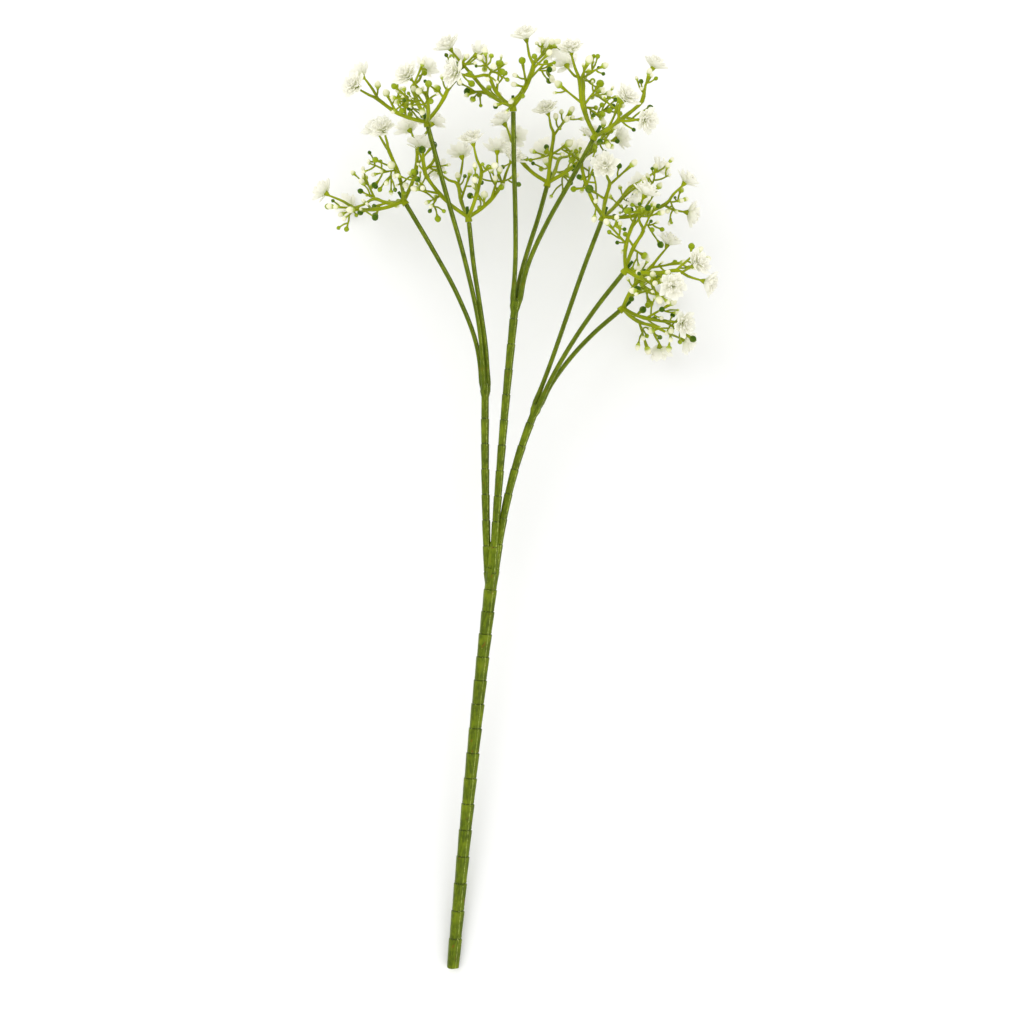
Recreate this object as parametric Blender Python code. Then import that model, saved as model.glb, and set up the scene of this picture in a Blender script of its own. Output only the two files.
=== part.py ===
"""A stem of gypsophila as cut, lying on a surface: a jointed stem, nine sprays and their double blooms.

Metres, +Z up. The stem runs along +Y from its cut end. It lies on that end and on low blooms.
"""

import math
import random
from dataclasses import dataclass, field
from itertools import combinations

import bmesh
import bpy
import numpy as np
from mathutils import Matrix, Quaternion, Vector

SEED = 11
FLAT_ANGLE = math.radians(2)
SHARP_ANGLE = math.radians(40)
NEAR_END = 0.9
TRIES = 80
SEAT_GAP = 0.0003
CLEARANCE = 0.0006
FLOOR_CLEARANCE = 0.0010

# The jointed stem, its branches, their knuckles and the thin stems that leave them.
STEM_RADIUS = 0.0035
STEM_SIDES = 9
STEM_LOBES = 3
TOP_SHARE = 0.7
LOBE_DEPTH = 0.10
BRANCH_RADIUS = 0.0022
BRANCH_SIDES = 5
JOINT_SPACING = 0.0150
JOINT_FALL = 0.0022
JOINT_SWELL = 1.12
KNUCKLE_RADIUS = 0.0031
KNUCKLE_LENGTH = 0.0090
KNUCKLE_PROFILE = ((0.95, BRANCH_RADIUS), (0.55, KNUCKLE_RADIUS), (0.10, 0.0030), (0.0, 0.0019))
TWIG_RADIUS = 0.00135
TWIG_SIDES = 4
TWIG_STATIONS = 5
TWIG_OFFSET = 0.0018
TWIG_ROOT = 0.0060
TWIG_BEND = 0.7

# A spray: the collar on its thin stem, the peg in the collar, the arms, their shoots and the bud stalks.
COLLAR_RADIUS = 0.0021
COLLAR_LENGTH = 0.0045
COLLAR_SIDES = 6
COLLAR_TAPER = 0.8
PEG_RADIUS = 0.0010
PEG_LENGTH = 0.0045
PEG_STEP = 0.0004
PEG_TAPER = 0.9
ARMS = 4
ARM_SEAT = 0.6
ARM_SPREAD = 0.35
ARM_RADII = (0.0012, 0.0009)
ARM_LENGTH = (0.028, 0.038)
ARM_LEAN = (math.radians(54), math.radians(80))
ARM_TURN = 0.50
ARM_STATIONS = 3
ARM_ROOT = 0.0050
FORK_PLACES = (1.0, 0.97, 0.60)
SHOOT_RADII = (0.0008, 0.0006)
SHOOT_LENGTH = (0.011, 0.018)
SHOOT_LEAN = (math.radians(24), math.radians(64))
SHOOT_TURN = 0.5
SHOOT_STATIONS = 2
SHOOT_ROOT = 0.0045
SHOOT_SIDES = 4
STALK_RADIUS = 0.0005
STALK_LENGTH = (0.0035, 0.0070)
STALK_LEAN = (math.radians(52), math.radians(75))
STALKS = ((0, 0.40), (2, 0.55))
BUD_RADIUS = (0.0015, 0.0025)
BUD_BELLY = 0.9
BUD_TIP = 2.1
BUD_POINT = 0.3
CALYX_RADIUS = 0.0016
CALYX_LENGTH = 0.0030

# A bloom, measured from its base: how far out and how high its edges lie. The ranges are drawn for each.
BLOOMS = (6, 5, 6, 5, 6, 5, 6, 5, 6)
BLOOM_SIZE = (0.94, 1.05)
BLOOM_LEAN = math.radians(28)
PETALS = 5
SAMPLES = 3
PETAL_CUP = (0.75, 1.30)
PETAL_LIFT = (-0.0005, 0.0006)
PETAL_SPAN = (0.94, 1.03)
BASE_RADIUS = 0.0013
OUTER_RADIUS = 0.0087
OUTER_NOTCH = 0.72
OUTER_HEIGHT = 0.0030
PETAL_THICKNESS = 0.0007
VALLEY_RADIUS = 0.0042
VALLEY_HEIGHT = 0.0027
INNER_RADIUS = 0.0060
INNER_NOTCH = 0.80
INNER_HEIGHT = 0.0055
INNER_DIP = 0.0010
HOLLOW_RADIUS = 0.0031
HOLLOW_HEIGHT = 0.0046
HEART_HEIGHT = 0.0068
DISC_REACH = 0.0054
DISC_RADIUS = 0.0036
FLAT_DEPTH = 0.0006
LOW_SPOTS = 120

# The ways of the stem and its branches as they grow, before the whole is laid down.
STEM_WAY = ((-0.0270, -0.024, 0.0), (-0.0130, 0.118, 0.0), (0.0005, 0.236, 0.0))
BRANCH_WAYS = {
    "right": ((-0.0015, 0.200, -0.001), (0.0080, 0.262, 0.001), (0.0260, 0.316, 0.004)),
    "centre": ((-0.0025, 0.200, 0.0015), (0.0045, 0.290, 0.004), (0.0135, 0.377, 0.010)),
    "left": ((-0.0040, 0.200, -0.001), (-0.0055, 0.265, -0.001), (-0.0055, 0.327, -0.004)),
}
# For each spray: its branch, its thin stem's place round the knuckle in degrees from +X towards +Z,
# where its collar is and which way it faces.
SPRAYS = (
    ("right", -50, (0.072, 0.368, -0.016), (0.84, 0.30, -0.22)),
    ("right", 70, (0.075, 0.391, 0.022), (0.74, 0.60, 0.22)),
    ("right", 190, (0.062, 0.420, -0.004), (0.42, 0.90, -0.12)),
    ("centre", 20, (0.058, 0.466, 0.022), (0.50, 0.85, 0.14)),
    ("centre", -100, (0.030, 0.440, -0.014), (0.16, 0.96, -0.24)),
    ("centre", 140, (0.013, 0.482, 0.020), (0.02, 0.98, 0.16)),
    ("left", -20, (-0.014, 0.420, 0.002), (0.00, 0.99, -0.06)),
    ("left", 100, (-0.036, 0.474, 0.014), (-0.26, 0.95, 0.12)),
    ("left", 220, (-0.052, 0.430, -0.016), (-0.66, 0.72, -0.18)),
)

UP = Vector((0, 0, 1))

STEM_COLOUR = (0.115, 0.165, 0.022, 1.0)
SPRAY_COLOUR = (0.300, 0.380, 0.030, 1.0)
PETAL_COLOUR = (0.850, 0.840, 0.740, 1.0)


@dataclass
class Shoot:
    """A round green shoot: the points along its middle and its radius at each."""

    points: list
    radii: list
    sides: int = SHOOT_SIDES
    lobes: int = 0


@dataclass
class Bloom:
    """A double bloom: a saucer of five broad petals, a smaller cup of five and a tight heart."""

    place: Matrix
    cup: float
    lifts: list
    spans: list

    def edges(self):
        """The rings of points from the base up to the heart, and the point in the heart's middle."""
        rings = [[], [], [], [], [], []]
        for sample in range(PETALS * SAMPLES):
            angle = math.tau * sample / (PETALS * SAMPLES)
            petal = sample // SAMPLES
            in_notch = sample % SAMPLES == 0
            in_inner_notch = sample % SAMPLES == 1
            outer = OUTER_RADIUS * self.spans[petal] * (OUTER_NOTCH if in_notch else 1.0)
            rim = OUTER_HEIGHT * self.cup + (0.0 if in_notch else self.lifts[petal])
            inner = INNER_RADIUS * (INNER_NOTCH if in_inner_notch else 1.0)
            brim = INNER_HEIGHT - (INNER_DIP if in_inner_notch else self.lifts[petal])
            profile = (
                (BASE_RADIUS, 0.0),
                (outer, rim),
                (outer, rim + PETAL_THICKNESS),
                (VALLEY_RADIUS, VALLEY_HEIGHT + PETAL_THICKNESS),
                (inner, brim),
                (HOLLOW_RADIUS, HOLLOW_HEIGHT),
            )
            for ring, (radius, height) in zip(rings, profile):
                point = Vector((radius * math.cos(angle), radius * math.sin(angle), height))
                ring.append(self.place @ point)
        return rings, self.place @ Vector((0, 0, HEART_HEIGHT))

    def rods(self):
        """Three rods that cross at the bloom's middle and fill its disc."""
        middle = self.place @ Vector((0, 0, DISC_RADIUS))
        turn = self.place.to_3x3().normalized()
        rods = []
        for third in range(3):
            angle = math.pi * third / 3
            reach = turn @ Vector((math.cos(angle), math.sin(angle), 0)) * DISC_REACH
            rods.append((middle - reach, middle + reach, DISC_RADIUS))
        return rods


@dataclass
class Spray:
    """A lime green spray: its shoots, the arms among them with each arm's way, and its blooms."""

    name: str
    seat: Vector
    heading: Vector
    axis: Vector
    wanted: int
    rng: random.Random
    shoots: list = field(default_factory=list)
    arms: list = field(default_factory=list)
    ways: list = field(default_factory=list)
    free_forks: list = field(default_factory=list)
    blooms: list = field(default_factory=list)

    def add_shoot(self, shoot, number, place):
        """Adds a shoot that leaves an arm at this place. One at the arm's end becomes part of the arm."""
        if place < 1:
            self.shoots.append(shoot)
            return
        arm = self.arms[number]
        arm.points += shoot.points[1:]
        arm.radii += shoot.radii[1:]


class Room:
    """What has grown so far, as round-ended rods, so that new growth keeps clear of it."""

    def __init__(self):
        self.rods = np.zeros((0, 7))
        self.floor = -math.inf

    def add(self, rods):
        rows = [(*start, *end, radius) for start, end, radius in rods]
        self.rods = np.vstack([self.rods, np.array(rows)])

    def has(self, rods):
        """Whether every rod keeps clear of all that has grown, and of the floor."""
        for start, end, radius in rods:
            if min(start.z, end.z) - radius < self.floor:
                return False
            gaps = rod_gaps(np.array(start), np.array(end), self.rods[:, :3], self.rods[:, 3:6])
            if (gaps < self.rods[:, 6] + radius + CLEARANCE).any():
                return False
        return True

    def move(self, change):
        turn = np.array(change.to_3x3())
        shift = np.array(change.translation)
        self.rods[:, :3] = self.rods[:, :3] @ turn.T + shift
        self.rods[:, 3:6] = self.rods[:, 3:6] @ turn.T + shift


def rod_gaps(start, end, starts, ends):
    """The least distance from one stretch to each of many."""
    along, others, offset = end - start, ends - starts, start - starts
    length, lengths = along @ along, (others * others).sum(1)
    slope, near, far = others @ along, offset @ along, (others * offset).sum(1)
    spread = np.maximum(length * lengths - slope**2, 1e-18)
    share = np.clip((slope * far - near * lengths) / spread, 0, 1)
    other_share = np.clip((slope * share + far) / lengths, 0, 1)
    share = np.clip((slope * other_share - near) / length, 0, 1)
    gaps = offset + share[:, None] * along - other_share[:, None] * others
    return np.sqrt((gaps**2).sum(1))


def rods_of(points, radius, root=0.0):
    """The rods along a way, the first begun this far from where it is rooted."""
    rods = [(start, end, radius) for start, end in zip(points, points[1:])]
    start, end, _ = rods[0]
    share = min(NEAR_END, root / (end - start).length)
    rods[0] = (start.lerp(end, share), end, radius)
    return rods


def curve_point(corners, share):
    """The point at this share of the curve that starts at the first corner and passes the middle one."""
    first, middle, last = (Vector(corner) for corner in corners)
    pull = 2 * middle - (first + last) / 2
    return (1 - share) ** 2 * first + 2 * share * (1 - share) * pull + share**2 * last


def bent_way(start, heading, toward, turn, length, steps):
    """The points of a shoot that sets out along heading and turns this share of the way to toward."""
    points = [start.copy()]
    swing = heading.rotation_difference(toward)
    for step in range(steps):
        bend = Quaternion().slerp(swing, turn * (step + 0.5) / steps)
        points.append(points[-1] + (bend @ heading) * (length / steps))
    return points


def way_point(points, share):
    """The point at this share of a way, and the way's heading there."""
    place = share * (len(points) - 1)
    step = min(int(place), len(points) - 2)
    heading = (points[step + 1] - points[step]).normalized()
    return points[step].lerp(points[step + 1], place - step), heading


def leaning(heading, lean, angle):
    """A direction that leans from heading by lean, at this angle about it."""
    side = Quaternion(heading, angle) @ heading.orthogonal().normalized()
    return heading * math.cos(lean) + side * math.sin(lean)


def jointed_shoot(corners, radius, sides, lobes=0, knuckle=False):
    """A stem with ring-like joints, each a slow swelling that drops back at once, and perhaps a knuckle."""
    length = (Vector(corners[2]) - Vector(corners[0])).length
    plain = length - (KNUCKLE_LENGTH if knuckle else 0.0)
    stations = [(0.0, radius)]
    for joint in range(1, int(plain / JOINT_SPACING) + 1):
        swell = joint * JOINT_SPACING
        if swell + JOINT_FALL < plain:
            stations += [(swell, radius * JOINT_SWELL), (swell + JOINT_FALL, radius)]
    if knuckle:
        stations += [(length - shift * KNUCKLE_LENGTH, size) for shift, size in KNUCKLE_PROFILE]
    else:
        stations.append((length, radius * TOP_SHARE))
    points = [curve_point(corners, along / length) for along, _ in stations]
    return Shoot(points, [size for _, size in stations], sides, lobes)


def grow_stem():
    """The shoots of the main stem: the stem, its three branches and the nine thin stems."""
    shoots = [jointed_shoot(STEM_WAY, STEM_RADIUS, STEM_SIDES, lobes=STEM_LOBES)]
    for corners in BRANCH_WAYS.values():
        shoots.append(jointed_shoot(corners, BRANCH_RADIUS, BRANCH_SIDES, knuckle=True))
    for branch, slot, seat, axis in SPRAYS:
        corners = BRANCH_WAYS[branch]
        knuckle = Vector(corners[2])
        heading = (knuckle - curve_point(corners, NEAR_END)).normalized()
        seat, axis = Vector(seat), Vector(axis).normalized()
        spread = Vector((math.cos(math.radians(slot)), 0, math.sin(math.radians(slot))))
        root = knuckle - heading * TWIG_ROOT + spread * TWIG_OFFSET
        reach = (seat - root).length
        last = ((seat - root).normalized() + axis * TWIG_BEND).normalized()
        points = []
        for station in range(TWIG_STATIONS):
            share = station / (TWIG_STATIONS - 1)
            points.append(hermite(root, heading * reach, seat, last * reach, share))
        shoots.append(Shoot(points, [TWIG_RADIUS] * TWIG_STATIONS, TWIG_SIDES))
    return shoots


def hermite(start, leave, end, arrive, share):
    """The point at this share of the curve that leaves start and arrives at end in these directions."""
    square, cube = share**2, share**3
    point = start * (2 * cube - 3 * square + 1) + leave * (cube - 2 * square + share)
    return point + end * (3 * square - 2 * cube) + arrive * (cube - square)


def grow_arms(spray, room):
    """The arms of a spray leave its collar to all sides and curve up along its axis."""
    rng = spray.rng
    first_angle = rng.uniform(0, math.tau)
    root = spray.seat + spray.heading * COLLAR_LENGTH * ARM_SEAT
    for arm in range(ARMS):
        for _ in range(TRIES):
            angle = first_angle + math.tau * arm / ARMS + rng.uniform(-ARM_SPREAD, ARM_SPREAD)
            heading = leaning(spray.axis, rng.uniform(*ARM_LEAN), angle)
            points = bent_way(root, heading, spray.axis, ARM_TURN, rng.uniform(*ARM_LENGTH), ARM_STATIONS)
            rods = rods_of(points, ARM_RADII[0], ARM_ROOT)
            if room.has(rods):
                room.add(rods)
                low, high = ARM_RADII
                radii = [low + (high - low) * step / ARM_STATIONS for step in range(ARM_STATIONS + 1)]
                arm = Shoot(points, radii)
                spray.shoots.append(arm)
                spray.arms.append(arm)
                spray.ways.append(list(points))
                break


def drawn_way(spray, number, place):
    """A drawn way for a shoot that leaves an arm at this place."""
    rng = spray.rng
    root, heading = way_point(spray.ways[number], place)
    away = leaning(heading, rng.uniform(*SHOOT_LEAN), rng.uniform(0, math.tau))
    return bent_way(root, away, heading, SHOOT_TURN, rng.uniform(*SHOOT_LENGTH), SHOOT_STATIONS)


def grow_bloom(spray, number, place, room):
    """A shoot with a calyx and a bloom at its end, if there is room for one."""
    rng = spray.rng
    for _ in range(TRIES):
        points = drawn_way(spray, number, place)
        lean, angle, spin = rng.uniform(0, BLOOM_LEAN), rng.uniform(0, math.tau), rng.uniform(0, math.tau)
        axis = leaning((points[-1] - points[-2]).normalized(), lean, angle)
        calyx_top = points[-1] + axis * CALYX_LENGTH
        turn = UP.rotation_difference(axis) @ Quaternion(UP, spin)
        size = Vector.Fill(3, rng.uniform(*BLOOM_SIZE))
        bloom = Bloom(
            Matrix.LocRotScale(calyx_top + axis * SEAT_GAP, turn, size),
            cup=rng.uniform(*PETAL_CUP),
            lifts=[rng.uniform(*PETAL_LIFT) for _ in range(PETALS)],
            spans=[rng.uniform(*PETAL_SPAN) for _ in range(PETALS)],
        )
        rods = rods_of(points, SHOOT_RADII[0], SHOOT_ROOT)
        if room.has(rods) and room.has(bloom.rods()):
            room.add(rods + bloom.rods())
            room.add([(points[-1], calyx_top, CALYX_RADIUS)])
            radii = [SHOOT_RADII[0]] * (len(points) - 1) + [SHOOT_RADII[1], CALYX_RADIUS]
            spray.add_shoot(Shoot(points + [calyx_top], radii), number, place)
            spray.blooms.append(bloom)
            return True
    return False


def bud_shoot(points, radius):
    """A stalk along the points and the bud on its end, as one shoot, and the bud as a rod."""
    reach = (points[-1] - points[-2]).normalized() * radius
    belly, tip = points[-1] + reach * BUD_BELLY, points[-1] + reach * BUD_TIP
    radii = [SHOOT_RADII[0]] * (len(points) - 1) + [STALK_RADIUS, radius, radius * BUD_POINT]
    return Shoot(points + [belly, tip], radii), (belly, belly + reach * BUD_POINT, radius)


def grow_bud(spray, draw_points, number, place, root, room):
    """A stalk with a bud at its end, if there is room for one."""
    for _ in range(TRIES):
        shoot, bud = bud_shoot(draw_points(spray, number, place), spray.rng.uniform(*BUD_RADIUS))
        rods = rods_of(shoot.points[:-2], STALK_RADIUS, root) + [bud]
        if room.has(rods):
            room.add(rods)
            spray.add_shoot(shoot, number, place)
            return


def drawn_straight(spray, number, place):
    """A drawn straight way for a shoot that leaves an arm at this place."""
    points = drawn_way(spray, number, place)
    return [points[0], points[-1]]


def drawn_stalk(spray, number, place):
    """A drawn way for a short stalk from the side of an arm."""
    rng = spray.rng
    root, heading = way_point(spray.ways[number], place)
    away = leaning(heading, rng.uniform(*STALK_LEAN), rng.uniform(0, math.tau))
    return [root, root + away * (ARM_RADII[0] + rng.uniform(*STALK_LENGTH))]


def grow_buds(spray, room):
    """The shoots that end in buds, at the forks left free, and the stalks along the arms."""
    for number, place in spray.free_forks:
        grow_bud(spray, drawn_straight, number, place, SHOOT_ROOT, room)
    for number, place in STALKS:
        grow_bud(spray, drawn_stalk, number, place, ARM_RADII[0] * 2, room)


def resting_plane(foot, points):
    """The upward normal of the flattest plane through the foot and two points with the rest above it."""
    spots = np.array([point - foot for point in points])
    normals = []
    for first, second in combinations(spots[spots[:, 2].argsort()[:LOW_SPOTS]], 2):
        normal = np.cross(first, second)
        normal *= math.copysign(1 / np.linalg.norm(normal), normal[2])
        if (spots @ normal).min() > -1e-9:
            normals.append(normal)
    return Vector(max(normals, key=lambda normal: normal[2]))


class Plant:
    """The whole stem, grown shoot by shoot and laid down."""

    def __init__(self):
        self.stem = grow_stem()
        self.sprays = []
        self.room = Room()
        for shoot in self.stem:
            self.room.add(rods_of(shoot.points, max(shoot.radii)))
        twigs = self.stem[-len(SPRAYS):]
        for number, (twig, (*_, axis), wanted) in enumerate(zip(twigs, SPRAYS, BLOOMS), start=1):
            end, heading = way_point(twig.points, 1.0)
            seat, axis = end + heading * SEAT_GAP, Vector(axis).normalized()
            rng = random.Random(SEED + number)
            self.sprays.append(Spray(f"spray_{number}", seat, heading, axis, wanted, rng))
        self.grow_blooms()
        self.lay_down()
        self.grow_buds()
        self.centre()

    def grow_blooms(self):
        for spray in self.sprays:
            heights = (0.0, COLLAR_LENGTH, COLLAR_LENGTH + PEG_STEP, COLLAR_LENGTH + PEG_LENGTH)
            points = [spray.seat + spray.heading * height for height in heights]
            radii = [COLLAR_RADIUS, COLLAR_RADIUS * COLLAR_TAPER, PEG_RADIUS, PEG_RADIUS * PEG_TAPER]
            spray.shoots.append(Shoot(points, radii, COLLAR_SIDES))
            self.room.add([(points[0], points[-1], PEG_RADIUS)])
        for spray in self.sprays:
            grow_arms(spray, self.room)
        for place in FORK_PLACES:
            for spray in self.sprays:
                for number in range(len(spray.arms)):
                    more = len(spray.blooms) < spray.wanted
                    if not (more and grow_bloom(spray, number, place, self.room)):
                        spray.free_forks.append((number, place))

    def grow_buds(self):
        self.room.floor = FLOOR_CLEARANCE
        for spray in self.sprays:
            grow_buds(spray, self.room)

    def blooms(self):
        return [bloom for spray in self.sprays for bloom in spray.blooms]

    def lay_down(self):
        """Turns the plant so that its cut end and two low blooms touch the floor, and sinks it a little."""
        rims = [point for bloom in self.blooms() for point in bloom.edges()[0][1]]
        foot = self.stem[0].points[0] - Vector((0, 0, STEM_RADIUS))
        turn = resting_plane(foot, rims).rotation_difference(UP).to_matrix().to_4x4()
        drop = (turn @ foot).z + FLAT_DEPTH
        self.move(Matrix.Translation((0, 0, -drop)) @ turn)

    def centre(self):
        """Puts the origin below the middle of the whole."""
        points = [point for shoot in self.all_shoots() for point in shoot.points]
        points += [point for bloom in self.blooms() for point in bloom.edges()[0][1]]
        middle = [(min(p[axis] for p in points) + max(p[axis] for p in points)) / 2 for axis in (0, 1)]
        self.move(Matrix.Translation((-middle[0], -middle[1], 0)))

    def all_shoots(self):
        return self.stem + [shoot for spray in self.sprays for shoot in spray.shoots]

    def move(self, change):
        turn = change.to_3x3()
        for shoot in self.all_shoots():
            shoot.points[:] = [change @ point for point in shoot.points]
        for spray in self.sprays:
            spray.seat = change @ spray.seat
            spray.heading, spray.axis = turn @ spray.heading, turn @ spray.axis
            spray.ways = [[change @ point for point in way] for way in spray.ways]
        for bloom in self.blooms():
            bloom.place = change @ bloom.place
        self.room.move(change)


def ring_of(centre, turn, radius, shoot):
    """The points of a shoot's section, with the stem's lobes where it has any."""
    ring = []
    for side in range(shoot.sides):
        angle = math.tau * side / shoot.sides
        reach = radius * (1 + LOBE_DEPTH * math.cos(shoot.lobes * angle)) if shoot.lobes else radius
        ring.append(centre + turn @ Vector((reach * math.cos(angle), reach * math.sin(angle), 0)))
    return ring


def shoot_rings(shoot):
    """The sections of a shoot, turned along its way with no twist."""
    points = shoot.points
    heading = UP
    turn = Quaternion()
    rings = []
    for place, (point, radius) in enumerate(zip(points, shoot.radii)):
        before, after = points[max(place - 1, 0)], points[min(place + 1, len(points) - 1)]
        tangent = (after - before).normalized()
        turn = heading.rotation_difference(tangent) @ turn
        heading = tangent
        rings.append(ring_of(point, turn, radius, shoot))
    return rings


def loft(rings, peak=None):
    """A closed mesh through the rings, made by extruding its end face from each ring to the next."""
    bm = bmesh.new()
    verts = bmesh.ops.create_circle(bm, cap_ends=True, radius=1.0, segments=len(rings[0]))["verts"]
    face = verts[0].link_faces[0]
    for vert, point in zip(verts, rings[0]):
        vert.co = point
    for ring in rings[1:]:
        order = {vert.co.copy().freeze(): place for place, vert in enumerate(verts)}
        grown = bmesh.ops.extrude_face_region(bm, geom=[face, *face.edges, *face.verts])["geom"]
        face = next(item for item in grown if isinstance(item, bmesh.types.BMFace))
        verts = sorted(face.verts, key=lambda vert: order[vert.co.copy().freeze()])
        for vert, point in zip(verts, ring):
            vert.co = point
    if peak is not None:
        tip = bmesh.ops.poke(bm, faces=[face])["verts"][0]
        tip.co = peak
    bmesh.ops.recalc_face_normals(bm, faces=bm.faces[:])
    return bm


def cut_at_floor(bm):
    """Takes off what lies below the floor, which leaves a small flat spot there."""
    everything = bm.verts[:] + bm.edges[:] + bm.faces[:]
    bmesh.ops.bisect_plane(bm, geom=everything, plane_co=(0, 0, 0), plane_no=(0, 0, -1), clear_outer=True)
    open_edges = [edge for edge in bm.edges if edge.is_boundary]
    bmesh.ops.holes_fill(bm, edges=open_edges)
    for vert in bm.verts:
        if abs(vert.co.z) < 1e-7:
            vert.co.z = 0.0


def painted(name, colour, roughness):
    material = bpy.data.materials.new(name)
    material.use_nodes = True
    shader = material.node_tree.nodes["Principled BSDF"]
    shader.inputs["Base Color"].default_value = colour
    shader.inputs["Roughness"].default_value = roughness
    return material


def placed(name, bm, material):
    """An object of the mesh, smooth apart from its sharp edges."""
    if min(vert.co.z for vert in bm.verts) < 0:
        cut_at_floor(bm)
    bmesh.ops.triangulate(bm, faces=bm.faces[:])
    mesh = bpy.data.meshes.new(name)
    bm.to_mesh(mesh)
    bm.free()
    mesh.shade_smooth()
    mesh.set_sharp_from_angle(angle=SHARP_ANGLE)
    mesh.materials.append(material)
    built = bpy.data.objects.new(name, mesh)
    bpy.context.scene.collection.objects.link(built)
    return built


def fused(name, shoots, material):
    """All the shoots as one solid: a Boolean union of the first with the rest, applied."""
    pieces = [placed(f"{name}_shoot", loft(shoot_rings(shoot)), material) for shoot in shoots]
    rest = bpy.data.collections.new(f"{name}_shoots")
    for piece in pieces[1:]:
        rest.objects.link(piece)
    union = pieces[0].modifiers.new("union", "BOOLEAN")
    union.operation = "UNION"
    union.operand_type = "COLLECTION"
    union.collection = rest
    bpy.context.view_layer.update()
    whole = pieces[0].evaluated_get(bpy.context.evaluated_depsgraph_get())
    bm = bmesh.new()
    bm.from_mesh(whole.to_mesh())
    whole.to_mesh_clear()
    for piece in pieces:
        bpy.data.objects.remove(piece)
    bpy.data.collections.remove(rest)
    bmesh.ops.dissolve_limit(bm, angle_limit=FLAT_ANGLE, verts=bm.verts[:], edges=bm.edges[:])
    return placed(name, bm, material)


def main():
    for old in list(bpy.data.objects):
        bpy.data.objects.remove(old)
    stem_green = painted("stem_green", STEM_COLOUR, 0.45)
    spray_green = painted("spray_green", SPRAY_COLOUR, 0.45)
    petal_white = painted("petal_white", PETAL_COLOUR, 0.80)
    plant = Plant()
    fused("main_stem", plant.stem, stem_green)
    for spray in plant.sprays:
        fused(spray.name, spray.shoots, spray_green)
    for number, bloom in enumerate(plant.blooms(), start=1):
        placed(f"bloom_{number:02d}", loft(*bloom.edges()), petal_white)


main()
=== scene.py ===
"""The looks of a cut gypsophila stem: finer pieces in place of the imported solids, and the finish of each.

Metres, +Z up. The stem lies along +Y from its cut end. The plant grows here by the rule that its solids grew
by, with the same draws, so each piece lies where its solid does. Small buds are then added wherever there is
room for them.
"""

import functools
import logging
import math
import random
from collections.abc import Callable
from dataclasses import dataclass, field
from enum import Enum
from itertools import combinations

import bmesh
import bpy
import numpy as np
from mathutils import Matrix, Quaternion, Vector


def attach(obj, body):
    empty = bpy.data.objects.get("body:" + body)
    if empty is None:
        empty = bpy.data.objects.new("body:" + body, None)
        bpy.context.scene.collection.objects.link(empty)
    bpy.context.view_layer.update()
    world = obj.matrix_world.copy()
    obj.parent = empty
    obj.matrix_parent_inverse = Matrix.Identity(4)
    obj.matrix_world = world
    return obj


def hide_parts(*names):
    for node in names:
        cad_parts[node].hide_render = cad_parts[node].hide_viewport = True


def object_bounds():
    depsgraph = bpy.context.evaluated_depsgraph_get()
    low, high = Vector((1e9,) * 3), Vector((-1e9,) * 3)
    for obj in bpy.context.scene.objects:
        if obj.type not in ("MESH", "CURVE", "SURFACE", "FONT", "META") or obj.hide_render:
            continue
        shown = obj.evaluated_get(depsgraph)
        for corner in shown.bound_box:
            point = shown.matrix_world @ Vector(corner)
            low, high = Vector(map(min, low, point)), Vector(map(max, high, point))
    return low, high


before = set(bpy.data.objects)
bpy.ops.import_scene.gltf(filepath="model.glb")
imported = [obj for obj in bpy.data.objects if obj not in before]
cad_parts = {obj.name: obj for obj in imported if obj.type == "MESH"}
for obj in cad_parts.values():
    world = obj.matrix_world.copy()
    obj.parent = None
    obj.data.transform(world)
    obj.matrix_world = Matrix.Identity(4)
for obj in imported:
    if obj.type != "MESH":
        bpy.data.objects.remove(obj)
CAD_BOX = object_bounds()

LOG = logging.getLogger("gypsophila")
UP = Vector((0, 0, 1))
Rod = tuple[Vector, Vector, float]

SEED = 11
TRIES = 80
SEAT_GAP = 0.0003
CLEARANCE = 0.0006
FLOOR_CLEARANCE = 0.0010
NEAR_END = 0.9
GRAIN_LENGTH = 0.0035
BODY = "root"

# For each spray: its branch, its thin stem's place round the knuckle in degrees from +X towards +Z, where its
# collar is, which way it faces and how many blooms it has.
SPRAYS = (
    ("right", -50, (0.072, 0.368, -0.016), (0.84, 0.30, -0.22), 6),
    ("right", 70, (0.075, 0.391, 0.022), (0.74, 0.60, 0.22), 5),
    ("right", 190, (0.062, 0.420, -0.004), (0.42, 0.90, -0.12), 6),
    ("centre", 20, (0.058, 0.466, 0.022), (0.50, 0.85, 0.14), 5),
    ("centre", -100, (0.030, 0.440, -0.014), (0.16, 0.96, -0.24), 6),
    ("centre", 140, (0.013, 0.482, 0.020), (0.02, 0.98, 0.16), 5),
    ("left", -20, (-0.014, 0.420, 0.002), (0.00, 0.99, -0.06), 6),
    ("left", 100, (-0.036, 0.474, 0.014), (-0.26, 0.95, 0.12), 5),
    ("left", 220, (-0.052, 0.430, -0.016), (-0.66, 0.72, -0.18), 6),
)


class End(Enum):
    """What a shoot ends in."""

    PLAIN = "plain"
    CALYX = "calyx"
    BUD = "bud"


class Bud(Enum):
    """The kinds of bud, each with how green it is from 0 for cream to 1 for dark green."""

    CREAM = 0.0
    PALE = 0.35
    LIME = 0.65
    DARK = 1.0


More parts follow.
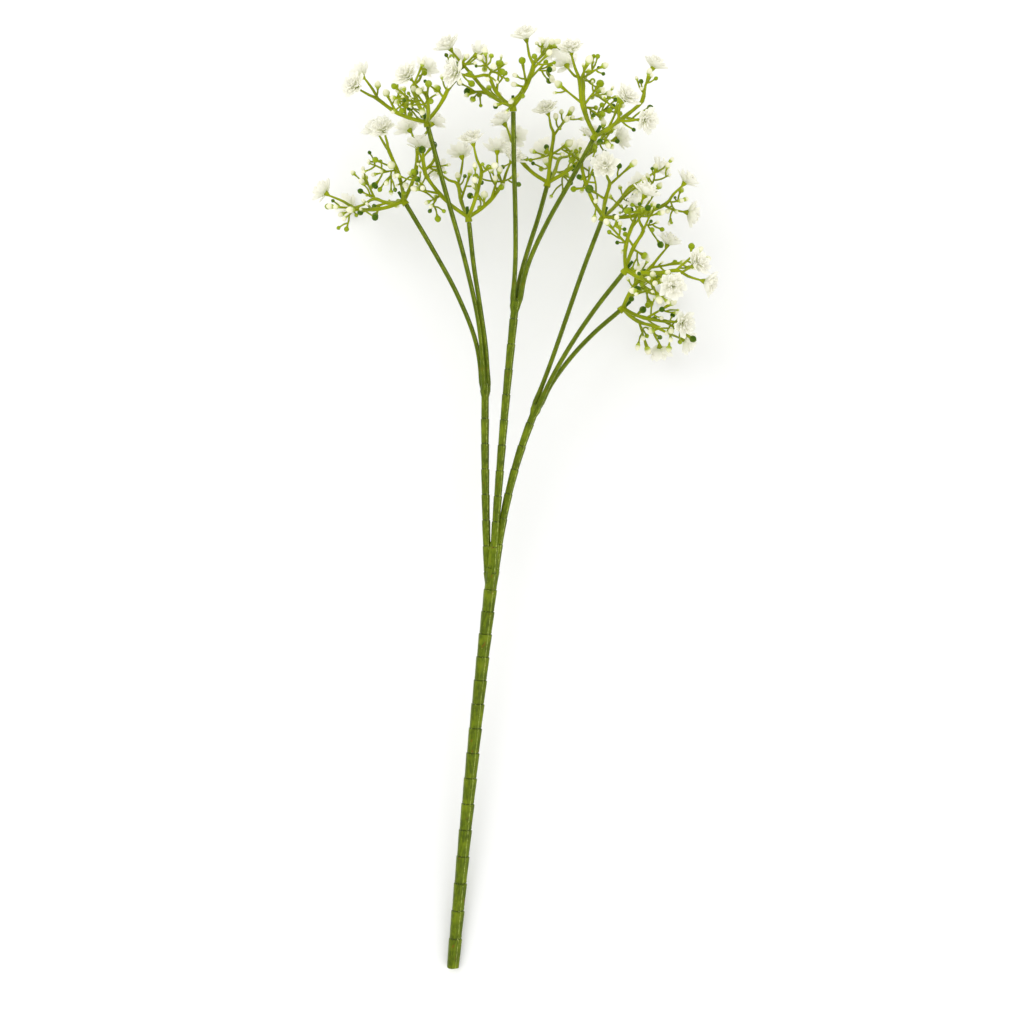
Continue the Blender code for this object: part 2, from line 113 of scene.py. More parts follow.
@dataclass
class Shoot:
    """A round green shoot: the points along its middle, its radius at each, and what it ends in."""

    points: list[Vector]
    radii: list[float]
    end: End = End.PLAIN
    bud: Bud = Bud.CREAM

    def stalk(self) -> int:
        """How many of the points belong to the stalk and not to the calyx or the bud."""
        return len(self.points) - {End.PLAIN: 0, End.CALYX: 1, End.BUD: 2}[self.end]

    def prolong(self, shoot: "Shoot") -> None:
        """Adds another shoot to this one's end.

        Args:
            shoot: the other shoot, which starts where this one ends.
        """
        self.points += shoot.points[1:]
        self.radii += shoot.radii[1:]
        self.end, self.bud = shoot.end, shoot.bud


class Room:
    """What has grown so far, as round-ended rods, so that new growth keeps clear of it."""

    def __init__(self) -> None:
        """Starts with nothing grown and no limits."""
        self.rods = np.zeros((0, 7))
        self.low = np.full(3, -math.inf)
        self.high = np.full(3, math.inf)

    def add(self, rods: list[Rod]) -> None:
        """Adds rods to what has grown."""
        rows = [(*start, *end, radius) for start, end, radius in rods]
        self.rods = np.vstack([self.rods, np.array(rows)])

    def has(self, rods: list[Rod]) -> bool:
        """Whether every rod keeps clear of all that has grown and inside the limits.

        Args:
            rods: the rods of the new growth.

        Returns:
            True if there is room for all of them.
        """
        for start, end, radius in rods:
            start, end = np.array(start), np.array(end)
            if (np.minimum(start, end) - radius < self.low).any():
                return False
            if (np.maximum(start, end) + radius > self.high).any():
                return False
            gaps = rod_gaps(start, end, self.rods[:, :3], self.rods[:, 3:6])
            if (gaps < self.rods[:, 6] + radius + CLEARANCE).any():
                return False
        return True

    def move(self, change: Matrix) -> None:
        """Moves what has grown.

        Args:
            change: the change of place.
        """
        turn = np.array(change.to_3x3())
        shift = np.array(change.translation)
        self.rods[:, :3] = self.rods[:, :3] @ turn.T + shift
        self.rods[:, 3:6] = self.rods[:, 3:6] @ turn.T + shift


def rod_gaps(start: np.ndarray, end: np.ndarray, starts: np.ndarray, ends: np.ndarray) -> np.ndarray:
    """The least distance from one stretch to each of many.

    Args:
        start: where the stretch starts.
        end: where it ends.
        starts: where each of the others starts, one in a row.
        ends: where each of them ends.

    Returns:
        The distance to each.
    """
    along, others, offset = end - start, ends - starts, start - starts
    length, lengths = along @ along, (others * others).sum(1)
    slope, near, far = others @ along, offset @ along, (others * offset).sum(1)
    spread = np.maximum(length * lengths - slope**2, 1e-18)
    share = np.clip((slope * far - near * lengths) / spread, 0, 1)
    other_share = np.clip((slope * share + far) / lengths, 0, 1)
    share = np.clip((slope * other_share - near) / length, 0, 1)
    gaps = offset + share[:, None] * along - other_share[:, None] * others
    return np.sqrt((gaps**2).sum(1))


def rods_of(points: list[Vector], radius: float, root: float = 0.0) -> list[Rod]:
    """The rods along a way, the first begun this far from where it is rooted.

    Args:
        points: the points of the way.
        radius: the rods' radius.
        root: how much of the way's start is left out.

    Returns:
        A rod for each stretch.
    """
    rods = [(start, end, radius) for start, end in zip(points, points[1:])]
    start, end, _ = rods[0]
    share = min(NEAR_END, root / (end - start).length)
    rods[0] = (start.lerp(end, share), end, radius)
    return rods


def curve_point(corners: tuple, share: float) -> Vector:
    """A point of the curve that starts at the first corner, passes the middle one and ends at the last.

    Args:
        corners: the three corners.
        share: how far along the curve, from 0 to 1.

    Returns:
        The point there.
    """
    first, middle, last = (Vector(corner) for corner in corners)
    pull = 2 * middle - (first + last) / 2
    return (1 - share) ** 2 * first + 2 * share * (1 - share) * pull + share**2 * last


def bent_way(
    start: Vector, heading: Vector, toward: Vector, turn: float, length: float, steps: int
) -> list[Vector]:
    """The points of a shoot that sets out along heading and turns towards another direction.

    Args:
        start: where the shoot starts.
        heading: the direction that it sets out in.
        toward: the direction that it turns to.
        turn: the share of the way to toward that it turns.
        length: the shoot's length.
        steps: how many straight stretches it has.

    Returns:
        Its points.
    """
    points = [start.copy()]
    swing = heading.rotation_difference(toward)
    for step in range(steps):
        bend = Quaternion().slerp(swing, turn * (step + 0.5) / steps)
        points.append(points[-1] + (bend @ heading) * (length / steps))
    return points


def way_point(points: list[Vector], share: float) -> tuple[Vector, Vector]:
    """A point of a way and the way's heading there.

    Args:
        points: the way's points.
        share: how far along the way, from 0 to 1.

    Returns:
        The point and the heading.
    """
    place = share * (len(points) - 1)
    step = min(int(place), len(points) - 2)
    heading = (points[step + 1] - points[step]).normalized()
    return points[step].lerp(points[step + 1], place - step), heading


def leaning(heading: Vector, lean: float, angle: float) -> Vector:
    """A direction that leans from heading by lean, at this angle about it."""
    side = Quaternion(heading, angle) @ heading.orthogonal().normalized()
    return heading * math.cos(lean) + side * math.sin(lean)


def hermite(start: Vector, leave: Vector, end: Vector, arrive: Vector, share: float) -> Vector:
    """A point of the curve that leaves start and arrives at end in these directions.

    Args:
        start: the curve's first point.
        leave: its direction and pull there.
        end: its last point.
        arrive: its direction and pull there.
        share: how far along the curve, from 0 to 1.

    Returns:
        The point there.
    """
    square, cube = share**2, share**3
    point = start * (2 * cube - 3 * square + 1) + leave * (cube - 2 * square + share)
    return point + end * (3 * square - 2 * cube) + arrive * (cube - square)


def resting_plane(foot: Vector, points: list[Vector], low_spots: int) -> Vector:
    """The upward normal of the flattest plane through the foot and two points with the rest above it.

    Args:
        foot: the point that the plane has to pass.
        points: the points that have to lie above it.
        low_spots: how many of the lowest points are tried.

    Returns:
        The plane's normal.
    """
    spots = np.array([point - foot for point in points])
    normals = []
    for first, second in combinations(spots[spots[:, 2].argsort()[:low_spots]], 2):
        normal = np.cross(first, second)
        normal *= math.copysign(1 / np.linalg.norm(normal), normal[2])
        if (spots @ normal).min() > -1e-9:
            normals.append(normal)
    return Vector(max(normals, key=lambda normal: normal[2]))


def smooth_way(points: list[Vector], radii: list[float], steps: int) -> tuple[list[Vector], list[float]]:
    """A smooth curve through the points of a way, with the radius along it.

    Args:
        points: the points that the curve passes.
        radii: the radius at each.
        steps: how many stretches the curve has between two of the points.

    Returns:
        The curve's points and the radius at each.
    """
    ends = [2 * points[0] - points[1], *points, 2 * points[-1] - points[-2]]
    way, sizes = [], []
    for place in range(len(points) - 1):
        before, start, end, after = ends[place : place + 4]
        for step in range(steps):
            share = step / steps
            way.append(hermite(start, (end - before) / 2, end, (after - start) / 2, share))
            sizes.append(radii[place] * (1 - share) + radii[place + 1] * share)
    return way + [points[-1]], sizes + [radii[-1]]


class Wire:
    """A value in a material's node tree. Sums on wires add their Math nodes."""

    def __init__(self, graph: "Graph", socket: bpy.types.NodeSocket) -> None:
        """Wraps a node's output socket."""
        self.graph = graph
        self.socket = socket

    def __add__(self, other: "Wire | float") -> "Wire":
        """This value and the other."""
        return self.graph.math("ADD", self, other)

    def __sub__(self, other: "Wire | float") -> "Wire":
        """This value less the other."""
        return self.graph.math("SUBTRACT", self, other)

    def __rsub__(self, other: float) -> "Wire":
        """The other less this value."""
        return self.graph.math("SUBTRACT", other, self)

    def __mul__(self, other: "Wire | float") -> "Wire":
        """This value times the other."""
        return self.graph.math("MULTIPLY", self, other)

    __radd__ = __add__
    __rmul__ = __mul__

    def step(self, low: float, high: float) -> "Wire":
        """A smooth step from 0 at low to 1 at high."""
        limits = {"Value": self, "From Min": low, "From Max": high}
        return self.graph.node("ShaderNodeMapRange", {"interpolation_type": "SMOOTHSTEP"}, limits)


class Graph:
    """The node tree of one material."""

    def __init__(self, name: str) -> None:
        """Makes a material with an empty node tree.

        Args:
            name: the material's name.
        """
        self.material = bpy.data.materials.new(name)
        self.material.use_nodes = True
        self.tree = self.material.node_tree
        self.tree.nodes.clear()

    def node(self, kind: str, settings: dict, sockets: dict, output: int | str = 0) -> Wire:
        """Adds a node.

        Args:
            kind: the node's type.
            settings: the node's own properties, which are set first.
            sockets: the value or the wire for each input, by its name or number.
            output: which of its outputs is wanted.

        Returns:
            That output.
        """
        made = self.tree.nodes.new(kind)
        for key, value in settings.items():
            setattr(made, key, value)
        for key, value in sockets.items():
            if isinstance(value, Wire):
                self.tree.links.new(value.socket, made.inputs[key])
            else:
                made.inputs[key].default_value = value
        return Wire(self, made.outputs[output])

    def math(self, operation: str, *values: "Wire | float") -> Wire:
        """Adds a Math node for this operation on one or two values."""
        return self.node("ShaderNodeMath", {"operation": operation}, dict(enumerate(values)))

    def mix(self, share: Wire | float, first: Wire | tuple, second: Wire | tuple) -> Wire:
        """A mix of two colours, from the first at share 0 to the second at share 1."""
        return self.node("ShaderNodeMix", {"data_type": "RGBA"}, {0: share, 6: first, 7: second}, 2)

    def attribute(self, name: str, output: str = "Fac") -> Wire:
        """What the piece's mesh holds under this name at each point."""
        return self.node("ShaderNodeAttribute", {"attribute_name": name}, {}, output)

    def stretched(self, vector: Wire, scale: tuple[float, float, float]) -> Wire:
        """A vector with each of its axes scaled."""
        return self.node("ShaderNodeVectorMath", {"operation": "MULTIPLY"}, {0: vector, 1: scale})

    def noise(self, vector: Wire, scale: float, detail: float = 2.0) -> Wire:
        """Soft noise from about 0.2 to 0.8 at this scale."""
        return self.node("ShaderNodeTexNoise", {}, {"Vector": vector, "Scale": scale, "Detail": detail})

    def object_place(self) -> Wire:
        """The place in the piece's own frame, in metres."""
        return self.node("ShaderNodeTexCoord", {}, {}, "Object")

    def bump(self, height: Wire, distance: float) -> Wire:
        """A normal for a surface raised by this height, which is 1 at this distance in metres."""
        return self.node("ShaderNodeBump", {}, {"Height": height, "Strength": 1.0, "Distance": distance})

    def shader(self, colour: Wire, gloss: float, roughness: Wire, relief: Wire) -> Wire:
        """Adds the shader that every finish is made of.

        Args:
            colour: its colour.
            gloss: how strongly it mirrors light.
            roughness: how rough it is.
            relief: its normal.

        Returns:
            The shader.
        """
        return self.node("ShaderNodeBsdfPrincipled", {}, {
            "Base Color": colour, "Specular IOR Level": gloss, "Roughness": roughness, "Normal": relief,
        })

    def surface(self, shader: Wire) -> bpy.types.Material:
        """Ends the tree.

        Args:
            shader: what the surface shows.

        Returns:
            The finished material.
        """
        output = self.tree.nodes.new("ShaderNodeOutputMaterial")
        self.tree.links.new(shader.socket, output.inputs["Surface"])
        return self.material


def shown(red: int, green: int, blue: int) -> tuple[float, float, float, float]:
    """The linear colour for a colour as a screen shows it, each part from 0 to 255."""
    parts = [part / 255 for part in (red, green, blue)]
    return (*(part / 12.92 if part < 0.04045 else ((part + 0.055) / 1.055) ** 2.4 for part in parts), 1.0)


@dataclass(frozen=True)
class StemFinish:
    """Moulded olive green plastic: streaks along it, pale mould seams and speckles, and a few rusty marks,
    with painted shade in the joint grooves and painted highlights and glints on the seams.
    """

    green: tuple = shown(94, 112, 0)
    deep: tuple = shown(68, 83, 0)
    light: tuple = shown(120, 136, 12)
    # groove: painted shade, the dark colour laid into the joint grooves and the gaps between the knuckle's
    # lobes
    groove: tuple = shown(44, 56, 0)
    # seam: the pale mould seam's colour, also used for painted highlights and glints
    seam: tuple = shown(184, 196, 104)
    rust: tuple = shown(112, 80, 4)
    cut: tuple = shown(196, 204, 150)
    roughness: float = 0.42
    gloss: float = 0.14

    def material(self) -> bpy.types.Material:
        """Builds the material.

        Returns:
            The material for the main stem.
        """
        graph = Graph("stem_green")
        grain = graph.attribute("grain", "Vector")
        seam, joint, cut = graph.attribute("seam"), graph.attribute("joint"), graph.attribute("cut")
        streaks = graph.noise(graph.stretched(grain, (1, 1, 0.22)), 3.2, 3)
        patches = graph.noise(grain, 0.55, 2)
        colour = graph.mix(streaks.step(0.35, 0.70), self.deep, self.green)
        colour = graph.mix(patches.step(0.42, 0.75) * 0.55, colour, self.light)
        marks = graph.noise(graph.stretched(grain, (0.8, 0.8, 0.30)), 1.6, 3).step(0.665, 0.70)
        colour = graph.mix(marks * 0.75, colour, self.rust)
        # Painted shade: the joint mark darkens the grooves and the gaps between the knuckle's lobes.
        colour = graph.mix(joint.step(0.2, 0.8) * 0.72, colour, self.groove)
        # The seam is partly the pale mould seam and partly a painted highlight along its raised ridge, broken
        # into brighter painted glints.
        seam_breakup = graph.noise(graph.stretched(grain, (1, 1, 0.6)), 2.8, 3)
        glint_flecks = graph.noise(graph.stretched(grain, (1, 1, 0.7)), 6.0, 2)
        seam_and_ridge_highlight = (seam + seam_breakup * 0.9).step(1.20, 1.36)
        colour = graph.mix(seam_and_ridge_highlight * (glint_flecks.step(0.50, 0.62) * 0.50 + 0.25), colour, self.seam)
        # Pale speckles, partly real and partly painted glints, with more painted glints at the joints.
        specks_and_glints = graph.noise(grain, 7.0, 1) + joint * 0.10
        colour = graph.mix(specks_and_glints.step(0.73, 0.77) * 0.75, colour, self.seam)
        colour = graph.mix(cut, colour, self.cut)
        roughness = streaks * 0.20 + (self.roughness - 0.08)
        relief = graph.bump(streaks + graph.noise(grain, 9.0, 2) * 0.5, 0.00012)
        return graph.surface(graph.shader(colour, self.gloss, roughness, relief))


@dataclass(frozen=True)
class ShootFinish:
    """The lime green plastic of the sprays, which the collars' pegs share in a darker green."""

    lime: tuple = shown(142, 154, 0)
    olive: tuple = shown(114, 127, 0)
    fresh: tuple = shown(170, 180, 14)
    dark: tuple = shown(56, 86, 0)
    roughness: float = 0.42
    gloss: float = 0.14

    def material(self) -> bpy.types.Material:
        """Builds the material.

        Returns:
            The material for the sprays' shoots.
        """
        graph = Graph("spray_lime")
        grain = graph.attribute("grain", "Vector")
        place = graph.object_place()
        ripe = graph.attribute("ripe")
        clouds = graph.noise(place, 70.0, 2)
        streaks = graph.noise(graph.stretched(grain, (1, 1, 0.3)), 2.5, 2)
        colour = graph.mix(clouds.step(0.30, 0.68), self.olive, self.lime)
        colour = graph.mix(streaks.step(0.50, 0.75) * 0.5, colour, self.fresh)
        colour = graph.mix(ripe, colour, self.dark)
        roughness = clouds * 0.15 + (self.roughness - 0.07)
        return graph.surface(graph.shader(colour, self.gloss, roughness, graph.bump(streaks, 0.00008)))


@dataclass(frozen=True)
class BudFinish:
    """The buds: cream with a green foot, pale, lime, or dark green with a netted skin."""

    cream: tuple = shown(230, 228, 196)
    foot: tuple = shown(170, 186, 62)
    lime: tuple = shown(148, 166, 12)
    dark: tuple = shown(66, 98, 0)
    roughness: float = 0.48
    gloss: float = 0.12

    def material(self) -> bpy.types.Material:
        """Builds the material.

        Returns:
            The material for the buds.
        """
        graph = Graph("bud_skin")
        rise, ripe = graph.attribute("rise"), graph.attribute("ripe")
        place = graph.object_place()
        clouds = graph.noise(place, 260.0, 2)
        cream = graph.mix((rise + clouds * 0.20).step(0.34, 0.66), self.foot, self.cream)
        green = graph.mix(ripe.step(0.55, 0.95), self.lime, self.dark)
        green = graph.mix(clouds.step(0.45, 0.75) * 0.35, green, self.foot)
        colour = graph.mix((ripe + (1 - rise) * 0.25).step(0.30, 0.72), cream, green)
        cells = {"Vector": place, "Scale": 1500.0}
        net = graph.node("ShaderNodeTexVoronoi", {"feature": "DISTANCE_TO_EDGE"}, cells)
        relief = graph.bump(net.step(0.0, 0.25) * ripe.step(0.3, 0.8) + clouds * 0.6, 0.00015)
        roughness = clouds * 0.2 + (self.roughness - 0.1)
        return graph.surface(graph.shader(colour, self.gloss, roughness, relief))


@dataclass(frozen=True)
class PetalFinish:
    """Thin warm white cloth that lets light through: cream green at a petal's root, partly its own tint and
    partly painted shade deep in the bloom, with faint veins.
    """

    white: tuple = shown(254, 252, 248)
    cream: tuple = shown(252, 250, 243)
    # root: the cloth's cream-green tint at a petal's root, deepened as painted shade inside the bloom
    root: tuple = shown(236, 240, 206)
    through: tuple = shown(254, 254, 247)
    see_through: float = 0.62
    roughness: float = 0.80
    gloss: float = 0.15

    def material(self) -> bpy.types.Material:
        """Builds the material.

        Returns:
            The material for the petals.
        """
        graph = Graph("petal_cloth")
        rise = graph.attribute("rise")
        grain = graph.attribute("grain", "Vector")
        place = graph.object_place()
        clouds = graph.noise(place, 180.0, 2)
        veins = graph.noise(graph.stretched(grain, (7.0, 0.5, 1.0)), 1.0, 2)
        weave = graph.noise(place, 3200.0, 1)
        # Partly tint, partly painted shade: cream green at the roots deep in the bloom, fading out towards
        # the tips.
        colour = graph.mix((rise + clouds * 0.30 - 0.15).step(0.10, 0.60), self.root, self.cream)
        colour = graph.mix((rise + veins * 0.20).step(0.35, 0.85), colour, self.white)
        colour = graph.mix(veins.step(0.52, 0.72) * 0.35, colour, self.cream)
        relief = graph.bump(veins + weave * 0.25, 0.00022)
        cloth = graph.shader(colour, self.gloss, weave * 0.2 + (self.roughness - 0.1), relief)
        glow = graph.node("ShaderNodeBsdfTranslucent", {}, {"Color": self.through})
        return graph.surface(graph.node("ShaderNodeMixShader", {}, {0: self.see_through, 1: cloth, 2: glow}))


@dataclass(frozen=True)
class PaperFinish:
    """The plain pale surface that the stem lies on."""

    white: tuple = shown(240, 240, 239)
    shade: tuple = shown(236, 236, 235)
    roughness: float = 0.9

    def material(self) -> bpy.types.Material:
        """Builds the material.

        Returns:
            The material for the surface.
        """
        graph = Graph("pale_surface")
        clouds = graph.noise(graph.object_place(), 3.0, 2)
        colour = graph.mix(clouds, self.shade, self.white)
        look = {"Base Color": colour, "Roughness": self.roughness}
        return graph.surface(graph.node("ShaderNodeBsdfPrincipled", {}, look))


@functools.cache
def blank_tube(sides: int, rings: int) -> bmesh.types.BMesh:
    """A closed cylinder cut into rings, to be copied and put in shape.

    Args:
        sides: how many sides it has.
        rings: how many rings of points it has, ends included.

    Returns:
        The mesh, from height -1 to 1.
    """
    bm = bmesh.new()
    bmesh.ops.create_cone(bm, cap_ends=True, cap_tris=False, segments=sides, radius1=1, radius2=1, depth=2)
    uprights = [edge for edge in bm.edges if abs(edge.verts[0].co.z - edge.verts[1].co.z) > 1]
    bmesh.ops.subdivide_edges(bm, edges=uprights, cuts=rings - 2)
    return bm


@functools.cache
def blank_petal(across: int, along: int) -> bmesh.types.BMesh:
    """A closed slab cut into a grid, to be copied and put in shape.

    Args:
        across: how many faces it has across the petal.
        along: how many it has along the petal.

    Returns:
        The mesh, from -1 to 1 across and along. Its under side is at height 0 and its upper side at height 1.
    """
    bm = bmesh.new()
    bmesh.ops.create_grid(bm, x_segments=across, y_segments=along, size=1)
    bmesh.ops.solidify(bm, geom=bm.faces[:], thickness=1)
    bottom = min(vert.co.z for vert in bm.verts)
    bmesh.ops.translate(bm, vec=(0, 0, -bottom), verts=bm.verts[:])
    return bm


class Skin:
    """The mesh of one piece while it is put together from closed shapes."""

    MARKS = ("rise", "ripe", "seam", "joint", "cut")

    def __init__(self) -> None:
        """Starts with no faces."""
        self.bm = bmesh.new()
        self.spare = bpy.data.meshes.new("spare")

    def add(self, shape: bmesh.types.BMesh, finish: Callable[[list], int] | None = None) -> None:
        """Adds a shape and frees it.

        Args:
            shape: the shape, in place.
            finish: gives the number of the finish for a face. Without it that is the first.
        """
        for face in shape.faces:
            face.smooth = True
            face.material_index = finish(face) if finish else 0
        shape.to_mesh(self.spare)
        shape.free()
        self.bm.from_mesh(self.spare)

    def piece(self, name: str, materials: list[bpy.types.Material]) -> bpy.types.Object:
        """Makes the piece's object.

        Args:
            name: the piece's name.
            materials: its materials, in the order that its faces number them.

        Returns:
            The object, at the origin.
        """
        low, high = CAD_BOX
        for vert in self.bm.verts:
            vert.co = [min(max(place, least), most) for place, least, most in zip(vert.co, low, high)]
        mesh = bpy.data.meshes.new(name)
        self.bm.to_mesh(mesh)
        self.bm.free()
        bpy.data.meshes.remove(self.spare)
        for material in materials:
            mesh.materials.append(material)
        mesh.set_sharp_from_angle(angle=math.radians(50))
        piece = bpy.data.objects.new(name, mesh)
        bpy.context.scene.collection.objects.link(piece)
        return piece


@dataclass
class Tube:
    """A closed round shape along a way, whose sections may have lobes and whose points may be marked.

    The reach is the share of the radius at an angle of a ring, and the rise is how far the point there lies
    beyond its section, along the way.
    """

    points: list[Vector]
    radii: list[float]
    sides: int
    reach: Callable[[int, float], float] = lambda ring, angle: 1.0
    rise: Callable[[int, float], float] = lambda ring, angle: 0.0
    marks: Callable[[int, float], dict[str, float]] = lambda ring, angle: {}

    def turns(self) -> list[Quaternion]:
        """How each section is turned, along the way and with no twist.

        Returns:
            A turn for each section.
        """
        heading = UP
        turn = Quaternion()
        turns = []
        for place in range(len(self.points)):
            before = self.points[max(place - 1, 0)]
            after = self.points[min(place + 1, len(self.points) - 1)]
            tangent = (after - before).normalized()
            turn = heading.rotation_difference(tangent) @ turn
            heading = tangent
            turns.append(turn.copy())
        return turns

    def shape(self) -> bmesh.types.BMesh:
        """Puts a blank tube in shape.

        Returns:
            The mesh, with its marks and the grain that its finish follows.
        """
        bm = blank_tube(self.sides, len(self.points)).copy()
        grain = bm.verts.layers.float_vector.new("grain")
        marks = {name: bm.verts.layers.float.new(name) for name in Skin.MARKS}
        turns = self.turns()
        lengths = np.cumsum([0.0] + [(b - a).length for a, b in zip(self.points, self.points[1:])])
        for vert in bm.verts:
            ring = round((vert.co.z + 1) / 2 * (len(self.points) - 1))
            angle = math.atan2(vert.co.y, vert.co.x)
            radius = self.radii[ring] * self.reach(ring, angle)
            side = Vector((math.cos(angle), math.sin(angle), 0))
            offset = side * radius + UP * self.rise(ring, angle)
            vert.co = self.points[ring] + turns[ring] @ offset
            vert[grain] = (side.x, side.y, lengths[ring] / GRAIN_LENGTH)
            for name, value in self.marks(ring, angle).items():
                vert[marks[name]] = value
        return bm


def seams(sides: int, number: int, first: float) -> Callable[[float], float]:
    """A function for how near an angle is to one of some mould seams, from 0 to 1.

    Args:
        sides: how many sides the section has. A seam fades out over two of them.
        number: how many seams there are.
        first: the angle of the first one.

    Returns:
        The function.
    """
    step = math.tau / number
    width = 2 * math.tau / sides
    return lambda angle: max(0.0, 1 - abs((angle - first + step / 2) % step - step / 2) / width)


@dataclass
class MainStem:
    """The jointed stem, its three branches with their knuckles, and the nine thin stems."""

    name: str = "main_stem"
    radius: float = 0.0035
    lobes: int = 3
    lobe_depth: float = 0.10
    top_share: float = 0.7
    branch_radius: float = 0.0022
    joint_spacing: float = 0.0150
    joint_fall: float = 0.0022
    joint_swell: float = 1.12
    knuckle_radius: float = 0.0031
    knuckle_length: float = 0.0090
    knuckle_lobes: float = 0.16
    twig_radius: float = 0.00135
    twig_stations: int = 5
    twig_offset: float = 0.0018
    twig_root: float = 0.0060
    twig_bend: float = 0.7
    twig_swell: float = 0.00040
    twig_sink: float = 0.60
    sides: int = 36
    branch_sides: int = 24
    twig_sides: int = 12
    ring_step: float = 0.0022
    groove: float = 0.13
    groove_width: float = 0.00042
    seam_rise: float = 0.04
    seam_angle: float = -math.radians(60)
    branch_root: float = 0.030
    twig_ridge: float = 0.06
    way: tuple = ((-0.0270, -0.024, 0.0), (-0.0130, 0.118, 0.0), (0.0005, 0.236, 0.0))
    branch_ways: dict = field(default_factory=lambda: {
        "right": ((-0.0015, 0.200, -0.001), (0.0080, 0.262, 0.001), (0.0260, 0.316, 0.004)),
        "centre": ((-0.0025, 0.200, 0.0015), (0.0045, 0.290, 0.004), (0.0135, 0.377, 0.010)),
        "left": ((-0.0040, 0.200, -0.001), (-0.0055, 0.265, -0.001), (-0.0055, 0.327, -0.004)),
    })
    change: Matrix = field(default_factory=Matrix)

    def knuckle_profile(self) -> tuple:
        """The knuckle's sizes: how far back from its end in shares of its length, and the radius there."""
        return (0.95, self.branch_radius), (0.55, self.knuckle_radius), (0.10, 0.0030), (0.0, 0.0019)

    def stations(self, corners: tuple, radius: float, knuckle: bool) -> list[tuple[float, float]]:
        """The stations of a jointed stem: slow swellings that drop back at once, and perhaps a knuckle.

        Args:
            corners: the corners of its way.
            radius: its radius between the joints.
            knuckle: whether it ends in a knuckle.

        Returns:
            How far along each station is, and the radius there.
        """
        length = (Vector(corners[2]) - Vector(corners[0])).length
        plain = length - (self.knuckle_length if knuckle else 0.0)
        stations = [(0.0, radius)]
        for joint in range(1, int(plain / self.joint_spacing) + 1):
            swell = joint * self.joint_spacing
            if swell + self.joint_fall < plain:
                stations += [(swell, radius * self.joint_swell), (swell + self.joint_fall, radius)]
        if knuckle:
            for shift, size in self.knuckle_profile():
                stations.append((length - shift * self.knuckle_length, size))
        else:
            stations.append((length, radius * self.top_share))
        return stations

    def jointed(self, corners: tuple, radius: float, knuckle: bool = False) -> Shoot:
        """A jointed stem as its solid has it.

        Args:
            corners: the corners of its way.
            radius: its radius between the joints.
            knuckle: whether it ends in a knuckle.

        Returns:
            The stem.
        """
        alongs, radii = zip(*self.stations(corners, radius, knuckle))
        return Shoot([curve_point(corners, along / alongs[-1]) for along in alongs], list(radii))

    def twig(self, branch: str, slot: int, seat: tuple, axis: tuple) -> list[Vector]:
        """The points of a thin stem, from inside its knuckle to its collar.

        Args:
            branch: the branch that it leaves.
            slot: its place round the knuckle in degrees.
            seat: where its collar is.
            axis: which way its spray faces.

        Returns:
            The points.
        """
        corners = self.branch_ways[branch]
        knuckle = Vector(corners[2])
        heading = (knuckle - curve_point(corners, NEAR_END)).normalized()
        seat, axis = Vector(seat), Vector(axis).normalized()
        root = knuckle - heading * self.twig_root + self.spread(slot) * self.twig_offset
        reach = (seat - root).length
        last = ((seat - root).normalized() + axis * self.twig_bend).normalized()
        shares = [station / (self.twig_stations - 1) for station in range(self.twig_stations)]
        return [hermite(root, heading * reach, seat, last * reach, share) for share in shares]

    def spread(self, slot: int) -> Vector:
        """The direction from a knuckle's middle to one of its slots."""
        return Vector((math.cos(math.radians(slot)), 0, math.sin(math.radians(slot))))

    def grow(self) -> list[Shoot]:
        """Grows the stem.

        Returns:
            Its shoots as its solid has them, the nine thin stems last.
        """
        shoots = [self.jointed(self.way, self.radius)]
        for corners in self.branch_ways.values():
            shoots.append(self.jointed(corners, self.branch_radius, knuckle=True))
        for branch, slot, seat, axis, _ in SPRAYS:
            shoots.append(Shoot(self.twig(branch, slot, seat, axis), [self.twig_radius] * self.twig_stations))
        return shoots

    def rings(self, stations: list[tuple[float, float]]) -> tuple[list[float], list[float], list[float]]:
        """Where the fine rings of a jointed stem lie, close together at each joint.

        Args:
            stations: the stations of its solid.

        Returns:
            How far along each ring is, its radius, and how deep it is in a joint's groove from 0 to 1.
        """
        places, sizes = zip(*stations)
        joints = [place + self.joint_fall * 0.35 for place, size in stations if size > sizes[0] * 1.1]
        joints = [joint for joint in joints if joint < places[-1] - self.knuckle_length]
        alongs = set(np.arange(0.0, places[-1], self.ring_step).tolist()) | set(places)
        for joint in joints:
            alongs |= {joint + shift * self.groove_width for shift in (-2.4, -1.2, -0.6, 0.0, 0.6, 1.2, 2.4)}
        alongs = sorted(along for along in alongs if 0 <= along <= places[-1])
        alongs = [a for a, b in zip(alongs, alongs[1:]) if b - a > self.groove_width / 3] + [places[-1]]
        radii = np.interp(alongs, places, sizes)
        nearest = [min(abs(along - joint) for joint in joints) for along in alongs]
        depths = [math.exp(-((gap / self.groove_width) ** 2)) for gap in nearest]
        return alongs, [radius * (1 - self.groove * depth) for radius, depth in zip(radii, depths)], depths

    def stem_tube(self) -> Tube:
        """The lower stem, three lobed, with a pale seam in each furrow and a cut end.

        Returns:
            The tube.
        """
        alongs, radii, depths = self.rings(self.stations(self.way, self.radius, False))
        length = alongs[-1]
        points = [self.change @ curve_point(self.way, along / length) for along in alongs]
        heading = (points[1] - points[0]).normalized()
        points = [points[0], points[0] + heading * 0.0001, *points[1:]]
        radii = [radii[0] * 0.93, radii[0], *radii[1:-1], radii[-1] * 0.5]
        depths = [0.0, 0.0, *depths[1:]]
        tube = Tube(points, radii, self.sides)
        seam = seams(self.sides, self.lobes, math.pi / self.lobes)
        tube.reach = lambda ring, angle: (
            1 + self.lobe_depth * math.cos(self.lobes * angle) + self.seam_rise * seam(angle) ** 2
        )
        # The joint mark is how deep each ring lies in a groove, where the finish paints shade.
        tube.marks = lambda ring, angle: {"seam": seam(angle), "joint": depths[ring], "cut": float(ring == 0)}
        return tube

